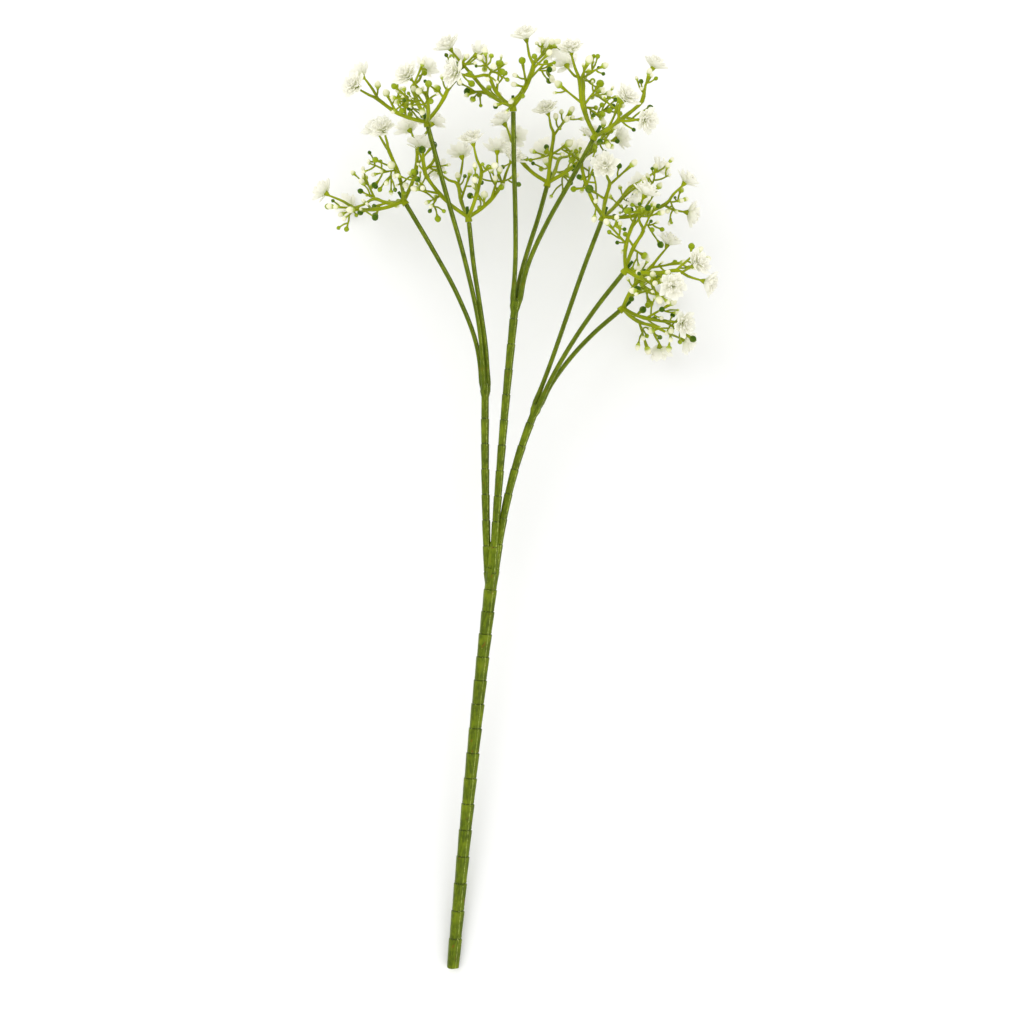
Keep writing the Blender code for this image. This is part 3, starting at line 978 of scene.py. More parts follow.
    def branch_tube(self, name: str) -> Tube:
        """A branch, with a seam along two sides and three lobes where the thin stems leave its knuckle.

        Args:
            name: the branch's name.

        Returns:
            The tube.
        """
        corners = self.branch_ways[name]
        alongs, radii, depths = self.rings(self.stations(corners, self.branch_radius, True))
        length = alongs[-1]
        points = [self.change @ curve_point(corners, along / length) for along in alongs]
        radii = [radius * min(1, 0.5 + along / self.branch_root) for radius, along in zip(radii, alongs)]
        swell = [min(max(1 - (length - along) / self.knuckle_length, 0), 1) for along in alongs]
        slots = [slot for branch, slot, *_ in SPRAYS if branch == name]
        tube = Tube(points, radii, self.branch_sides)
        seam = seams(self.branch_sides, 2, self.seam_angle)
        spread = tube.turns()[-1].inverted() @ (self.change.to_3x3() @ self.spread(slots[0]))
        first = math.atan2(spread.y, spread.x)

        def lobe(angle: float) -> float:
            """How far out the knuckle's lobes stand at an angle, from -1 between them to 1."""
            return math.cos(len(slots) * (angle - first))

        tube.reach = lambda ring, angle: (
            1 + self.knuckle_lobes * swell[ring] ** 2 * (lobe(angle) - 0.4)
            + self.seam_rise * seam(angle) ** 2
        )
        # Near the knuckle the joint mark also paints shade into the gaps between its lobes.
        tube.marks = lambda ring, angle: {
            "seam": seam(angle), "joint": max(depths[ring], swell[ring] ** 3 * (0.5 - 0.5 * lobe(angle))),
        }
        return tube

    def twig_tube(self, coarse: list[Vector]) -> Tube:
        """A thin stem, thicker where it leaves its knuckle.

        Args:
            coarse: its points as its solid has them, in place.

        Returns:
            The tube.
        """
        points, radii = smooth_way(coarse, [self.twig_radius] * len(coarse), 9)
        root = points[0]
        for place, point in enumerate(points):
            along = (point - root).length / self.twig_root
            radii[place] *= self.twig_sink + (1 - self.twig_sink) * min(1, along)
            radii[place] += self.twig_swell * math.exp(-((along - 1) ** 2))
        points.append(points[-1] + (points[-1] - points[-2]).normalized() * 0.0001)
        tube = Tube(points, [*radii[:-1], radii[-1] * 0.98, radii[-1] * 0.8], self.twig_sides)
        seam = seams(self.twig_sides * 2, 1, self.seam_angle)
        tube.reach = lambda ring, angle: 1 + self.twig_ridge * math.cos(3 * angle)
        tube.marks = lambda ring, angle: {"seam": seam(angle)}
        return tube

    def build(self, finish: StemFinish) -> bpy.types.Object:
        """Builds the fine main stem.

        Args:
            finish: its finish.

        Returns:
            The piece.
        """
        skin = Skin()
        skin.add(self.stem_tube().shape())
        for name in self.branch_ways:
            skin.add(self.branch_tube(name).shape())
        for branch, slot, seat, axis, _ in SPRAYS:
            coarse = self.twig(branch, slot, seat, axis)
            skin.add(self.twig_tube([self.change @ point for point in coarse]).shape())
        piece = skin.piece("stem_and_branches", [finish.material()])
        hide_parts(self.name)
        return piece


@dataclass(frozen=True)
class Whorl:
    """One ring of a bloom's petals.

    Each place is a radius and a height from the bloom's base. The spread is half of a petal's angle, and the
    paleness is how far its tip turns from the root's colour to white; the second and third rings keep more of
    the root's cream green, which deepens the painted shade inside the bloom. The petals of a loose ring are
    spread and lifted by a draw of their own, and the others as the bloom's solid has them.
    """

    petals: int
    first: float
    root: tuple[float, float]
    belly: tuple[float, float]
    tip: tuple[float, float]
    spread: float
    rounding: float
    scoop: float
    ruffle: float
    waves: float
    paleness: float = 1.0
    loose: bool = True

    def profile(self, share: float) -> tuple[Vector, Vector]:
        """A point of the curve from a petal's root by its belly to its tip, and the curve's heading there.

        Args:
            share: how far along the curve, from 0 to 1.

        Returns:
            The radius and the height, and the direction in them.
        """
        root, belly, tip = Vector(self.root), Vector(self.belly), Vector(self.tip)
        first, second = root.lerp(belly, share), belly.lerp(tip, share)
        return first.lerp(second, share), (second - first).normalized()


@dataclass
class Bloom:
    """A double bloom: a saucer of five broad petals, ruffled smaller ones inside it, and a tight heart."""

    name: str
    place: Matrix
    cup: float
    lifts: list[float]
    spans: list[float]
    petals: int = 5
    samples: int = 3
    outer_radius: float = 0.0087
    outer_notch: float = 0.72
    outer_height: float = 0.0030
    disc_reach: float = 0.0054
    disc_radius: float = 0.0036
    thickness: float = 0.00012
    raggedness: float = 0.020
    widest: float = 0.62
    root_width: float = 0.46
    narrowing: float = 0.26
    across: int = 10
    along: int = 8
    turn_play: float = 0.05
    loose_span: tuple = (0.93, 1.03)
    loose_lift: tuple = (-0.0004, 0.0004)
    tilt: tuple = (0.0002, 0.0005)
    vein_play: float = 9.0

    def rim(self) -> list[Vector]:
        """The low rim of the bloom's solid.

        Returns:
            Its points.
        """
        points = []
        for sample in range(self.petals * self.samples):
            angle = math.tau * sample / (self.petals * self.samples)
            petal = sample // self.samples
            in_notch = sample % self.samples == 0
            radius = self.outer_radius * self.spans[petal] * (self.outer_notch if in_notch else 1.0)
            height = self.outer_height * self.cup + (0.0 if in_notch else self.lifts[petal])
            points.append(self.place @ Vector((radius * math.cos(angle), radius * math.sin(angle), height)))
        return points

    def rods(self) -> list[Rod]:
        """Three rods that cross at the bloom's middle and fill its disc.

        Returns:
            The rods.
        """
        middle = self.place @ Vector((0, 0, self.disc_radius))
        turn = self.place.to_3x3().normalized()
        rods = []
        for third in range(3):
            angle = math.pi * third / 3
            reach = turn @ Vector((math.cos(angle), math.sin(angle), 0)) * self.disc_reach
            rods.append((middle - reach, middle + reach, self.disc_radius))
        return rods

    def whorls(self) -> list[Whorl]:
        """The bloom's rings of petals, from the outermost to the heart.

        Returns:
            The rings.
        """
        rim, fifth = self.outer_height * self.cup, math.tau / self.petals
        return [
            Whorl(5, fifth * 0.5, (0.0009, -0.0008), (0.0040, rim * 0.30), (0.0086, rim + 0.0004),
                  0.64, 0.42, 0.0004, 0.00026, 2.2, loose=False),
            Whorl(5, 0.0, (0.0008, -0.0003), (0.0034, 0.0009 + rim * 0.30), (0.0074, rim + 0.0013),
                  0.62, 0.38, 0.0005, 0.00036, 2.6, paleness=0.8605),
            Whorl(5, fifth * 0.83, (0.0007, 0.0004), (0.0024, 0.0026), (0.0059, 0.0050),
                  0.64, 0.32, 0.0004, 0.00044, 2.9, paleness=0.6860),
            Whorl(4, fifth * 0.30, (0.0006, 0.0010), (0.0014, 0.0044), (0.0041, 0.0060),
                  0.78, 0.26, 0.0003, 0.00048, 3.4),
            Whorl(3, fifth * 0.70, (0.0004, 0.0014), (0.0019, 0.0054), (0.0016, 0.0068),
                  1.05, 0.24, 0.0001, 0.00030, 3.4),
        ]

    def width_at(self, out: float) -> float:
        """How wide a petal is along its length.

        Args:
            out: how far out, from 0 at its root to 1 at its tip.

        Returns:
            The share of its full width.
        """
        if out < self.widest:
            return self.root_width + (1 - self.root_width) * math.sin(math.pi / 2 * out / self.widest)
        return 1 - self.narrowing * ((out - self.widest) / (1 - self.widest)) ** 2

    def petal(self, whorl: Whorl, number: int, rng: random.Random) -> bmesh.types.BMesh:
        """Puts a blank petal in shape.

        Args:
            whorl: the ring that it belongs to.
            number: its place in the ring.
            rng: where its own shape is drawn from.

        Returns:
            The mesh.
        """
        bm = blank_petal(self.across, self.along).copy()
        rise = bm.verts.layers.float.new("rise")
        grain = bm.verts.layers.float_vector.new("grain")
        middle = whorl.first + math.tau * number / whorl.petals + rng.uniform(-self.turn_play, self.turn_play)
        span = rng.uniform(*self.loose_span) if whorl.loose else self.spans[number]
        lift = rng.uniform(*self.loose_lift) if whorl.loose else self.lifts[number]
        phase, tilt, ragged = rng.uniform(0, math.tau), rng.uniform(*self.tilt), rng.uniform(0, math.tau)
        shift = rng.uniform(0, self.vein_play)
        for vert in bm.verts:
            side, out, above = vert.co.x, (vert.co.y + 1) / 2, vert.co.z * self.thickness
            edge = 1 - whorl.rounding * abs(side) ** 2.2 + self.raggedness * math.sin(7 * side + ragged)
            place, slope = whorl.profile(out * (1 - out * (1 - edge)))
            ruffle, turn = whorl.ruffle * out**2, whorl.waves * side
            wave = math.sin(2 * turn + phase) + 0.5 * math.sin(5 * turn + ragged)
            height = place.y + ruffle * wave + above * slope.x
            height += out * (whorl.scoop * side**2 + tilt * side + lift)
            radius = place.x * (1 + (span - 1) * out) - above * slope.y
            radius += 0.7 * ruffle * math.sin(3 * turn + ragged)
            angle = middle - side * whorl.spread * self.width_at(out)
            vert.co = self.place @ Vector((radius * math.cos(angle), radius * math.sin(angle), height))
            vert[rise] = out * whorl.paleness
            vert[grain] = (side, out, shift)
        return bm

    def build(self, material: bpy.types.Material, rng: random.Random) -> bpy.types.Object:
        """Builds the fine bloom.

        Args:
            material: the petals' material.
            rng: where the shapes of its petals are drawn from.

        Returns:
            The piece.
        """
        skin = Skin()
        for whorl in self.whorls():
            for number in range(whorl.petals):
                skin.add(self.petal(whorl, number, rng))
        piece = skin.piece(f"petals_{self.name[-2:]}", [material])
        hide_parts(self.name)
        return piece


@dataclass(frozen=True)
class EndForm:
    """The form of a calyx or a bud.

    Each step is how far along it is, its share of the full radius, and how far the points of the sepals
    stand up there in shares of the radius.
    """

    steps: tuple[tuple[float, float, float], ...]


CALYX = EndForm((
    (0.12, 0.42, 0.0), (0.35, 0.62, 0.0), (0.65, 0.86, 0.0), (0.90, 1.00, 0.05), (1.00, 1.10, 0.22),
    (0.94, 0.86, 0.10), (0.72, 0.50, 0.0),
))
PEAR = EndForm((
    (0.05, 0.50, 0.0), (0.16, 0.66, 0.0), (0.30, 0.80, 0.06), (0.33, 0.74, 0.06), (0.48, 0.86, 0.0),
    (0.66, 0.90, 0.0), (0.84, 0.80, 0.0), (1.00, 0.58, 0.0), (1.11, 0.32, 0.0), (1.16, 0.12, 0.0),
    (1.17, 0.04, 0.0),
))
TEARDROP = EndForm((
    (0.05, 0.46, 0.0), (0.14, 0.68, 0.0), (0.25, 0.88, 0.0), (0.37, 1.00, 0.12), (0.40, 0.93, 0.12),
    (0.54, 0.95, 0.0), (0.68, 0.85, 0.0), (0.82, 0.66, 0.0), (0.96, 0.40, 0.0), (1.07, 0.16, 0.0),
    (1.11, 0.04, 0.0),
))
BERRY = EndForm((
    (0.05, 0.45, 0.0), (0.15, 0.70, 0.0), (0.29, 0.92, 0.0), (0.46, 1.00, 0.0), (0.62, 0.96, 0.0),
    (0.78, 0.78, 0.0), (0.90, 0.50, 0.0), (0.98, 0.22, 0.0), (1.00, 0.05, 0.0),
))


@dataclass
class Spray:
    """A lime green spray: its collar and peg, its arms and their shoots, the buds, and its blooms."""

    name: str
    seat: Vector
    heading: Vector
    axis: Vector
    wanted: int
    rng: random.Random
    collar_radius: float = 0.0021
    collar_length: float = 0.0045
    collar_taper: float = 0.8
    peg_radius: float = 0.0010
    peg_length: float = 0.0045
    arm_count: int = 4
    arm_seat: float = 0.6
    arm_spread: float = 0.35
    arm_radii: tuple = (0.0012, 0.0009)
    arm_length: tuple = (0.028, 0.038)
    arm_lean: tuple = (math.radians(54), math.radians(80))
    arm_turn: float = 0.50
    arm_stations: int = 3
    arm_root: float = 0.0050
    shoot_radii: tuple = (0.0008, 0.0006)
    shoot_length: tuple = (0.011, 0.018)
    shoot_lean: tuple = (math.radians(24), math.radians(64))
    shoot_turn: float = 0.5
    shoot_stations: int = 2
    shoot_root: float = 0.0045
    stalk_radius: float = 0.0005
    stalk_length: tuple = (0.0035, 0.0070)
    stalk_lean: tuple = (math.radians(52), math.radians(75))
    stalks: tuple = ((0, 0.40), (2, 0.55))
    bud_radius: tuple = (0.0015, 0.0025)
    bud_belly: float = 0.9
    bud_tip: float = 2.1
    bud_point: float = 0.3
    calyx_radius: float = 0.0016
    calyx_length: float = 0.0030
    bloom_size: tuple = (0.94, 1.05)
    bloom_lean: float = math.radians(28)
    petal_cup: tuple = (0.75, 1.30)
    petal_lift: tuple = (-0.0005, 0.0006)
    petal_span: tuple = (0.94, 1.03)
    more_buds: int = 44
    small_bud: tuple = (0.0009, 0.0020)
    small_length: tuple = (0.0030, 0.0110)
    small_radii: tuple = (0.00055, 0.00042)
    long_stalk: float = 0.0055
    way_steps: int = 3
    forks: tuple = (0.60, 0.97)
    fork_swell: float = 0.28
    arm_ridge: float = 0.05
    shoots: list[Shoot] = field(default_factory=list)
    arms: list[Shoot] = field(default_factory=list)
    ways: list[list[Vector]] = field(default_factory=list)
    side_ways: list[list[Vector]] = field(default_factory=list)
    free_forks: list[tuple[int, float]] = field(default_factory=list)
    blooms: list[Bloom] = field(default_factory=list)

    def collar_points(self) -> list[Vector]:
        """Where the collar starts, and where its peg ends."""
        return [self.seat, self.seat + self.heading * (self.collar_length + self.peg_length)]

    def add_shoot(self, shoot: Shoot, number: int, place: float) -> None:
        """Adds a shoot that leaves an arm. One at the arm's end becomes part of the arm.

        Args:
            shoot: the shoot.
            number: the arm that it leaves.
            place: how far along the arm.
        """
        if place < 1:
            self.shoots.append(shoot)
        else:
            self.arms[number].prolong(shoot)

    def grow_arms(self, room: Room) -> None:
        """Grows the arms, which leave the collar to all sides and curve up along the spray's axis.

        Args:
            room: what has grown.
        """
        rng = self.rng
        first_angle = rng.uniform(0, math.tau)
        root = self.seat + self.heading * self.collar_length * self.arm_seat
        for arm in range(self.arm_count):
            for _ in range(TRIES):
                play = rng.uniform(-self.arm_spread, self.arm_spread)
                angle = first_angle + math.tau * arm / self.arm_count + play
                heading = leaning(self.axis, rng.uniform(*self.arm_lean), angle)
                length = rng.uniform(*self.arm_length)
                points = bent_way(root, heading, self.axis, self.arm_turn, length, self.arm_stations)
                rods = rods_of(points, self.arm_radii[0], self.arm_root)
                if room.has(rods):
                    room.add(rods)
                    low, high = self.arm_radii
                    steps = range(self.arm_stations + 1)
                    grown = Shoot(points, [low + (high - low) * step / self.arm_stations for step in steps])
                    self.shoots.append(grown)
                    self.arms.append(grown)
                    self.ways.append(list(points))
                    break

    def drawn_way(self, number: int, place: float) -> list[Vector]:
        """Draws a way for a shoot that leaves an arm.

        Args:
            number: the arm.
            place: how far along the arm.

        Returns:
            The points of the way.
        """
        root, heading = way_point(self.ways[number], place)
        away = leaning(heading, self.rng.uniform(*self.shoot_lean), self.rng.uniform(0, math.tau))
        length = self.rng.uniform(*self.shoot_length)
        return bent_way(root, away, heading, self.shoot_turn, length, self.shoot_stations)

    def drawn_straight(self, number: int, place: float) -> list[Vector]:
        """Draws a straight way for a shoot that leaves an arm at this place."""
        points = self.drawn_way(number, place)
        return [points[0], points[-1]]

    def drawn_stalk(self, number: int, place: float) -> list[Vector]:
        """Draws a way for a short stalk from the side of an arm.

        Args:
            number: the arm.
            place: how far along the arm.

        Returns:
            The points of the way.
        """
        root, heading = way_point(self.ways[number], place)
        away = leaning(heading, self.rng.uniform(*self.stalk_lean), self.rng.uniform(0, math.tau))
        return [root, root + away * (self.arm_radii[0] + self.rng.uniform(*self.stalk_length))]

    def grow_bloom(self, number: int, place: float, room: Room) -> bool:
        """Grows a shoot with a calyx and a bloom at its end, if there is room for one.

        Args:
            number: the arm that it leaves.
            place: how far along the arm.
            room: what has grown.

        Returns:
            True if it has grown.
        """
        rng = self.rng
        for _ in range(TRIES):
            points = self.drawn_way(number, place)
            lean = rng.uniform(0, self.bloom_lean)
            angle, spin = rng.uniform(0, math.tau), rng.uniform(0, math.tau)
            axis = leaning((points[-1] - points[-2]).normalized(), lean, angle)
            calyx_top = points[-1] + axis * self.calyx_length
            turn = UP.rotation_difference(axis) @ Quaternion(UP, spin)
            size = Vector.Fill(3, rng.uniform(*self.bloom_size))
            bloom = Bloom(
                "",
                Matrix.LocRotScale(calyx_top + axis * SEAT_GAP, turn, size),
                cup=rng.uniform(*self.petal_cup),
                lifts=[rng.uniform(*self.petal_lift) for _ in range(5)],
                spans=[rng.uniform(*self.petal_span) for _ in range(5)],
            )
            rods = rods_of(points, self.shoot_radii[0], self.shoot_root)
            if room.has(rods) and room.has(bloom.rods()):
                room.add(rods + bloom.rods())
                room.add([(points[-1], calyx_top, self.calyx_radius)])
                radii = [self.shoot_radii[0]] * (len(points) - 1) + [self.shoot_radii[1], self.calyx_radius]
                self.add_shoot(Shoot(points + [calyx_top], radii, End.CALYX), number, place)
                self.side_ways.append(list(points))
                self.blooms.append(bloom)
                return True
        return False

    def bud_shoot(self, points: list[Vector], radius: float, stalk: tuple[float, float]) -> tuple[Shoot, Rod]:
        """A stalk along the points with a bud on its end.

        Args:
            points: the stalk's points.
            radius: the bud's radius.
            stalk: the stalk's radius along it and where the bud begins.

        Returns:
            The shoot, and the bud as a rod.
        """
        reach = (points[-1] - points[-2]).normalized() * radius
        belly, tip = points[-1] + reach * self.bud_belly, points[-1] + reach * self.bud_tip
        radii = [stalk[0]] * (len(points) - 1) + [stalk[1], radius, radius * self.bud_point]
        rod = (belly, belly + reach * self.bud_point, radius)
        return Shoot(points + [belly, tip], radii, End.BUD), rod

    def grow_bud(self, draw: Callable, number: int, place: float, root: float, room: Room) -> None:
        """Grows a stalk with a bud at its end, if there is room for one.

        Args:
            draw: gives a drawn way for an arm's number and a place on it.
            number: the arm that the stalk leaves.
            place: how far along the arm.
            root: how much of the stalk lies in the arm.
            room: what has grown.
        """
        for _ in range(TRIES):
            points = draw(number, place)
            radius = self.rng.uniform(*self.bud_radius)
            shoot, bud = self.bud_shoot(points, radius, (self.shoot_radii[0], self.stalk_radius))
            rods = rods_of(shoot.points[:-2], self.stalk_radius, root) + [bud]
            if room.has(rods):
                room.add(rods)
                self.add_shoot(shoot, number, place)
                self.side_ways.append(shoot.points[:-2])
                return

    def grow_buds(self, room: Room) -> None:
        """Grows the shoots that end in buds, at the forks left free, and the stalks along the arms.

        Args:
            room: what has grown.
        """
        for number, place in self.free_forks:
            self.grow_bud(self.drawn_straight, number, place, self.shoot_root, room)
        for number, place in self.stalks:
            self.grow_bud(self.drawn_stalk, number, place, self.arm_radii[0] * 2, room)

    def grow_small_buds(self, room: Room, rng: random.Random) -> None:
        """Adds small buds on thin stalks all over the spray, wherever there is room.

        Args:
            room: what has grown.
            rng: where they are drawn from.
        """
        kinds = [Bud.CREAM, Bud.CREAM, Bud.PALE, Bud.LIME, Bud.DARK]
        for shoot in self.shoots:
            shoot.bud = rng.choice(kinds)
        for _ in range(self.more_buds):
            for _ in range(TRIES // 4):
                way = rng.choice(self.ways + self.side_ways)
                root, heading = way_point(way, rng.uniform(0.15, 0.95))
                away = leaning(heading, rng.uniform(*self.stalk_lean), rng.uniform(0, math.tau))
                length = rng.uniform(*self.small_length)
                points = bent_way(root, away, heading, self.shoot_turn, length, self.shoot_stations)
                shoot, bud = self.bud_shoot(points, rng.uniform(*self.small_bud), self.small_radii)
                rods = rods_of(points, self.stalk_radius, self.arm_radii[0] * 1.6) + [bud]
                if room.has(rods):
                    room.add(rods)
                    shoot.bud = rng.choice(kinds)
                    self.shoots.append(shoot)
                    if length > self.long_stalk:
                        self.side_ways.append(points)
                    break

    def shoot_tube(self, shoot: Shoot) -> Tube:
        """The fine form of a shoot.

        Args:
            shoot: the shoot as its solid has it.

        Returns:
            Its tube.
        """
        stalk = shoot.stalk()
        points, radii = smooth_way(shoot.points[:stalk], shoot.radii[:stalk], self.way_steps)
        is_arm = any(shoot is arm for arm in self.arms)
        if is_arm:
            for place in self.forks:
                fork = place * self.arm_stations * self.way_steps
                swells = [1 + self.fork_swell * math.exp(-((ring - fork) ** 2)) for ring in range(len(radii))]
                radii = [radius * swell for radius, swell in zip(radii, swells)]
        below = len(points)
        rises, sepals = [0.0] * below, [0.0] * below
        start, size = points[-1], 0.0
        if shoot.end is not End.PLAIN:
            is_calyx = shoot.end is End.CALYX
            form = CALYX if is_calyx else {Bud.CREAM: PEAR, Bud.PALE: TEARDROP}.get(shoot.bud, BERRY)
            reach = shoot.points[-1] - start
            size = self.calyx_radius if is_calyx else shoot.radii[-2]
            neck = 0 if is_calyx else size * form.steps[0][1]
            necks = [neck * math.exp(-(point - start).length / size) for point in points]
            radii = [max(pair) for pair in zip(radii, necks)]
            points += [start + reach * along for along, _, _ in form.steps]
            radii += [size * share for _, share, _ in form.steps]
            sepals += [size * stand for _, _, stand in form.steps]
            rises += [0.0 if is_calyx else along for along, _, _ in form.steps]
        sides = 8 if size < self.bud_radius[0] else 10
        ripe = shoot.bud.value
        tube = Tube(points, radii, sides)
        tube.rise = lambda ring, angle: sepals[ring] * math.cos(sides / 2 * angle)
        tube.marks = lambda ring, angle: {"rise": rises[ring], "ripe": ripe if rises[ring] else 0.0}
        if is_arm:
            tube.reach = lambda ring, angle: 1 + self.arm_ridge * math.cos(sides / 2 * angle) * (ring < below)
        return tube

    def turned(self, profile: tuple, sides: int) -> Tube:
        """A round form on the collar's axis, from pairs of how far along it is and the radius there."""
        points = [self.seat + self.heading * along for along, _ in profile]
        return Tube(points, [size for _, size in profile], sides)

    def collar_tubes(self) -> list[Tube]:
        """Forms the collar.

        Returns:
            The collar with its rounded lip, and the peg in it.
        """
        foot, lip = self.collar_radius, self.collar_radius * self.collar_taper
        collar = self.turned((
            (0.0, foot * 0.90), (0.0002, foot), (0.0010, foot), (0.0016, foot * 0.93), (0.0032, lip * 1.02),
            (0.0040, lip * 1.08), (self.collar_length, lip), (self.collar_length, lip * 0.7),
        ), 16)
        end = self.collar_length + self.peg_length
        peg = self.turned((
            (0.0035, self.peg_radius), (end - 0.0006, self.peg_radius * 0.92),
            (end - 0.0001, self.peg_radius * 0.80), (end, self.peg_radius * 0.45),
        ), 10)
        peg.marks = lambda ring, angle: {"ripe": 1.0}
        return [collar, peg]

    def build(self, materials: list[bpy.types.Material]) -> bpy.types.Object:
        """Builds the fine spray.

        Args:
            materials: the shoots' material and the buds'.

        Returns:
            The piece.
        """
        skin = Skin()
        for tube in self.collar_tubes():
            skin.add(tube.shape())
        for shoot in self.shoots:
            shape = self.shoot_tube(shoot).shape()
            rise = shape.verts.layers.float["rise"]
            skin.add(shape, lambda face: int(max(vert[rise] for vert in face.verts) > 0))
        piece = skin.piece(f"{self.name}_shoots_and_buds", materials)
        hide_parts(self.name)
        return piece


@dataclass
class Plant:
    """The whole stem, grown shoot by shoot and laid down."""

    fork_places: tuple = (1.0, 0.97, 0.60)
    flat_depth: float = 0.0006
    low_spots: int = 120
    main_stem: MainStem = field(default_factory=MainStem)
    stem: list[Shoot] = field(default_factory=list)
    sprays: list[Spray] = field(default_factory=list)
    room: Room = field(default_factory=Room)

    def grow(self) -> None:
        """Grows the plant as its solids grew, then adds the small buds."""
        self.stem = self.main_stem.grow()
        for shoot in self.stem:
            self.room.add(rods_of(shoot.points, max(shoot.radii)))
        twigs = self.stem[-len(SPRAYS):]
        for number, (twig, (*_, axis, wanted)) in enumerate(zip(twigs, SPRAYS), start=1):
            end, heading = way_point(twig.points, 1.0)
            seat, axis = end + heading * SEAT_GAP, Vector(axis).normalized()
            rng = random.Random(SEED + number)
            self.sprays.append(Spray(f"spray_{number}", seat, heading, axis, wanted, rng))
        self.grow_blooms()
        self.lay_down()
        self.room.low[2] = FLOOR_CLEARANCE
        for spray in self.sprays:
            spray.grow_buds(self.room)
        self.centre()
        self.room.low, self.room.high = (np.array(corner) for corner in CAD_BOX)
        self.room.low[2] = FLOOR_CLEARANCE
        for number, spray in enumerate(self.sprays):
            spray.grow_small_buds(self.room, random.Random(SEED * 100 + number))
        for number, bloom in enumerate(self.blooms(), start=1):
            bloom.name = f"bloom_{number:02d}"

    def grow_blooms(self) -> None:
        """Grows the arms of all the sprays, and then their blooms, fork by fork."""
        for spray in self.sprays:
            self.room.add([(*spray.collar_points(), spray.peg_radius)])
        for spray in self.sprays:
            spray.grow_arms(self.room)
        for place in self.fork_places:
            for spray in self.sprays:
                for number in range(len(spray.arms)):
                    more = len(spray.blooms) < spray.wanted
                    if not (more and spray.grow_bloom(number, place, self.room)):
                        spray.free_forks.append((number, place))

    def blooms(self) -> list[Bloom]:
        """All the blooms, spray by spray."""
        return [bloom for spray in self.sprays for bloom in spray.blooms]

    def lay_down(self) -> None:
        """Turns the plant so that its cut end and two low blooms touch the floor, and sinks it a little."""
        rims = [point for bloom in self.blooms() for point in bloom.rim()]
        foot = self.stem[0].points[0] - UP * self.main_stem.radius
        turn = resting_plane(foot, rims, self.low_spots).rotation_difference(UP).to_matrix().to_4x4()
        drop = (turn @ foot).z + self.flat_depth
        self.move(Matrix.Translation((0, 0, -drop)) @ turn)

    def centre(self) -> None:
        """Puts the origin below the middle of the whole."""
        points = [point for shoot in self.all_shoots() for point in shoot.points]
        points += [point for spray in self.sprays for point in spray.collar_points()]
        points += [point for bloom in self.blooms() for point in bloom.rim()]
        middle = [(min(p[axis] for p in points) + max(p[axis] for p in points)) / 2 for axis in (0, 1)]
        self.move(Matrix.Translation((-middle[0], -middle[1], 0)))

    def all_shoots(self) -> list[Shoot]:
        """The shoots of the main stem and of all the sprays."""
        return self.stem + [shoot for spray in self.sprays for shoot in spray.shoots]

    def move(self, change: Matrix) -> None:
        """Moves the whole plant.

        Args:
            change: the change of place.
        """
        turn = change.to_3x3()
        self.main_stem.change = change @ self.main_stem.change
        for shoot in self.all_shoots():
            shoot.points[:] = [change @ point for point in shoot.points]
        for spray in self.sprays:
            spray.seat = change @ spray.seat
            spray.heading, spray.axis = turn @ spray.heading, turn @ spray.axis
            spray.ways = [[change @ point for point in way] for way in spray.ways]
            spray.side_ways = [[change @ point for point in way] for way in spray.side_ways]
        for bloom in self.blooms():
            bloom.place = change @ bloom.place
        self.room.move(change)


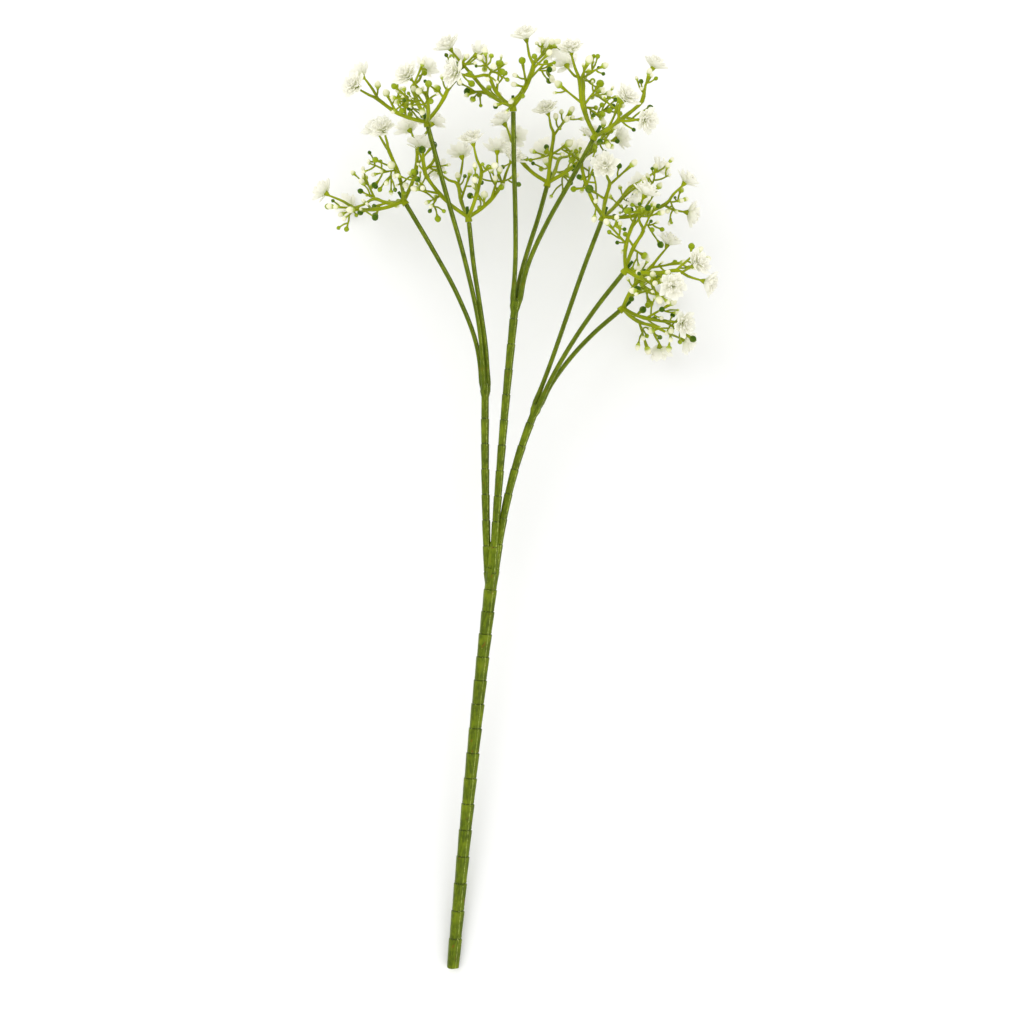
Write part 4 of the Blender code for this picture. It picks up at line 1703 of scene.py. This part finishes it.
@dataclass
class Studio:
    """A plain pale surface, soft light from above, and a camera that looks straight down."""

    floor_size: float = 8.0
    view_angle: float = math.radians(24)
    margin: float = 1.07
    key_power: float = 12.0
    key_size: float = 1.6
    fill_power: float = 6.0
    world_strength: float = 1.04

    def floor(self) -> None:
        """Lays the surface."""
        bm = bmesh.new()
        bmesh.ops.create_grid(bm, x_segments=1, y_segments=1, size=self.floor_size / 2)
        mesh = bpy.data.meshes.new("floor")
        bm.to_mesh(mesh)
        bm.free()
        mesh.materials.append(PaperFinish().material())
        floor = bpy.data.objects.new("floor", mesh)
        bpy.context.scene.collection.objects.link(floor)

    def light(self, name: str, place: tuple, power: float, size: float) -> None:
        """Hangs a soft square light that faces the origin.

        Args:
            name: its name.
            place: where it hangs.
            power: its power in watts.
            size: its side.
        """
        lamp = bpy.data.lights.new(name, "AREA")
        lamp.energy, lamp.size = power, size
        hung = bpy.data.objects.new(name, lamp)
        hung.location = place
        hung.rotation_euler = (-Vector(place)).to_track_quat("-Z", "Y").to_euler()
        bpy.context.scene.collection.objects.link(hung)

    def world(self) -> None:
        """Lights everything evenly from all sides."""
        world = bpy.data.worlds.new("studio")
        world.use_nodes = True
        world.node_tree.nodes["Background"].inputs["Color"].default_value = (1, 1, 1, 1)
        world.node_tree.nodes["Background"].inputs["Strength"].default_value = self.world_strength
        bpy.context.scene.world = world
        bpy.context.scene.view_settings.view_transform = "Standard"

    def camera(self) -> None:
        """Puts the camera above the middle of the plant, with the blooms at the top of the picture."""
        low, high = CAD_BOX
        middle = (low + high) / 2
        height = (high.y - low.y) / 2 * self.margin / math.tan(self.view_angle / 2)
        lens = bpy.data.cameras.new("camera")
        lens.sensor_width = 36.0
        lens.lens = lens.sensor_width / 2 / math.tan(self.view_angle / 2)
        lens.clip_end = 20.0
        camera = bpy.data.objects.new("camera", lens)
        camera.location = (middle.x, middle.y, middle.z + height)
        bpy.context.scene.collection.objects.link(camera)
        bpy.context.scene.camera = camera

    def build(self) -> None:
        """Sets up the surface, the lights, the world and the camera."""
        self.floor()
        self.light("key", (-0.9, 0.9, 1.5), self.key_power, self.key_size)
        self.light("fill", (1.2, -0.6, 1.3), self.fill_power, self.key_size)
        self.world()
        self.camera()


def main() -> None:
    """Builds the plant's pieces in order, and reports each."""
    logging.basicConfig(level=logging.INFO, format="%(message)s")
    Studio().build()
    plant = Plant()
    plant.grow()
    pieces = [plant.main_stem.build(StemFinish())]
    green = [ShootFinish().material(), BudFinish().material()]
    pieces += [spray.build(green) for spray in plant.sprays]
    white = PetalFinish().material()
    for number, bloom in enumerate(plant.blooms()):
        pieces.append(bloom.build(white, random.Random(SEED * 1000 + number)))
    for piece in pieces:
        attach(piece, BODY)
        LOG.info("%s: %d faces", piece.name, len(piece.data.polygons))


if __name__ == "__main__":
    main()
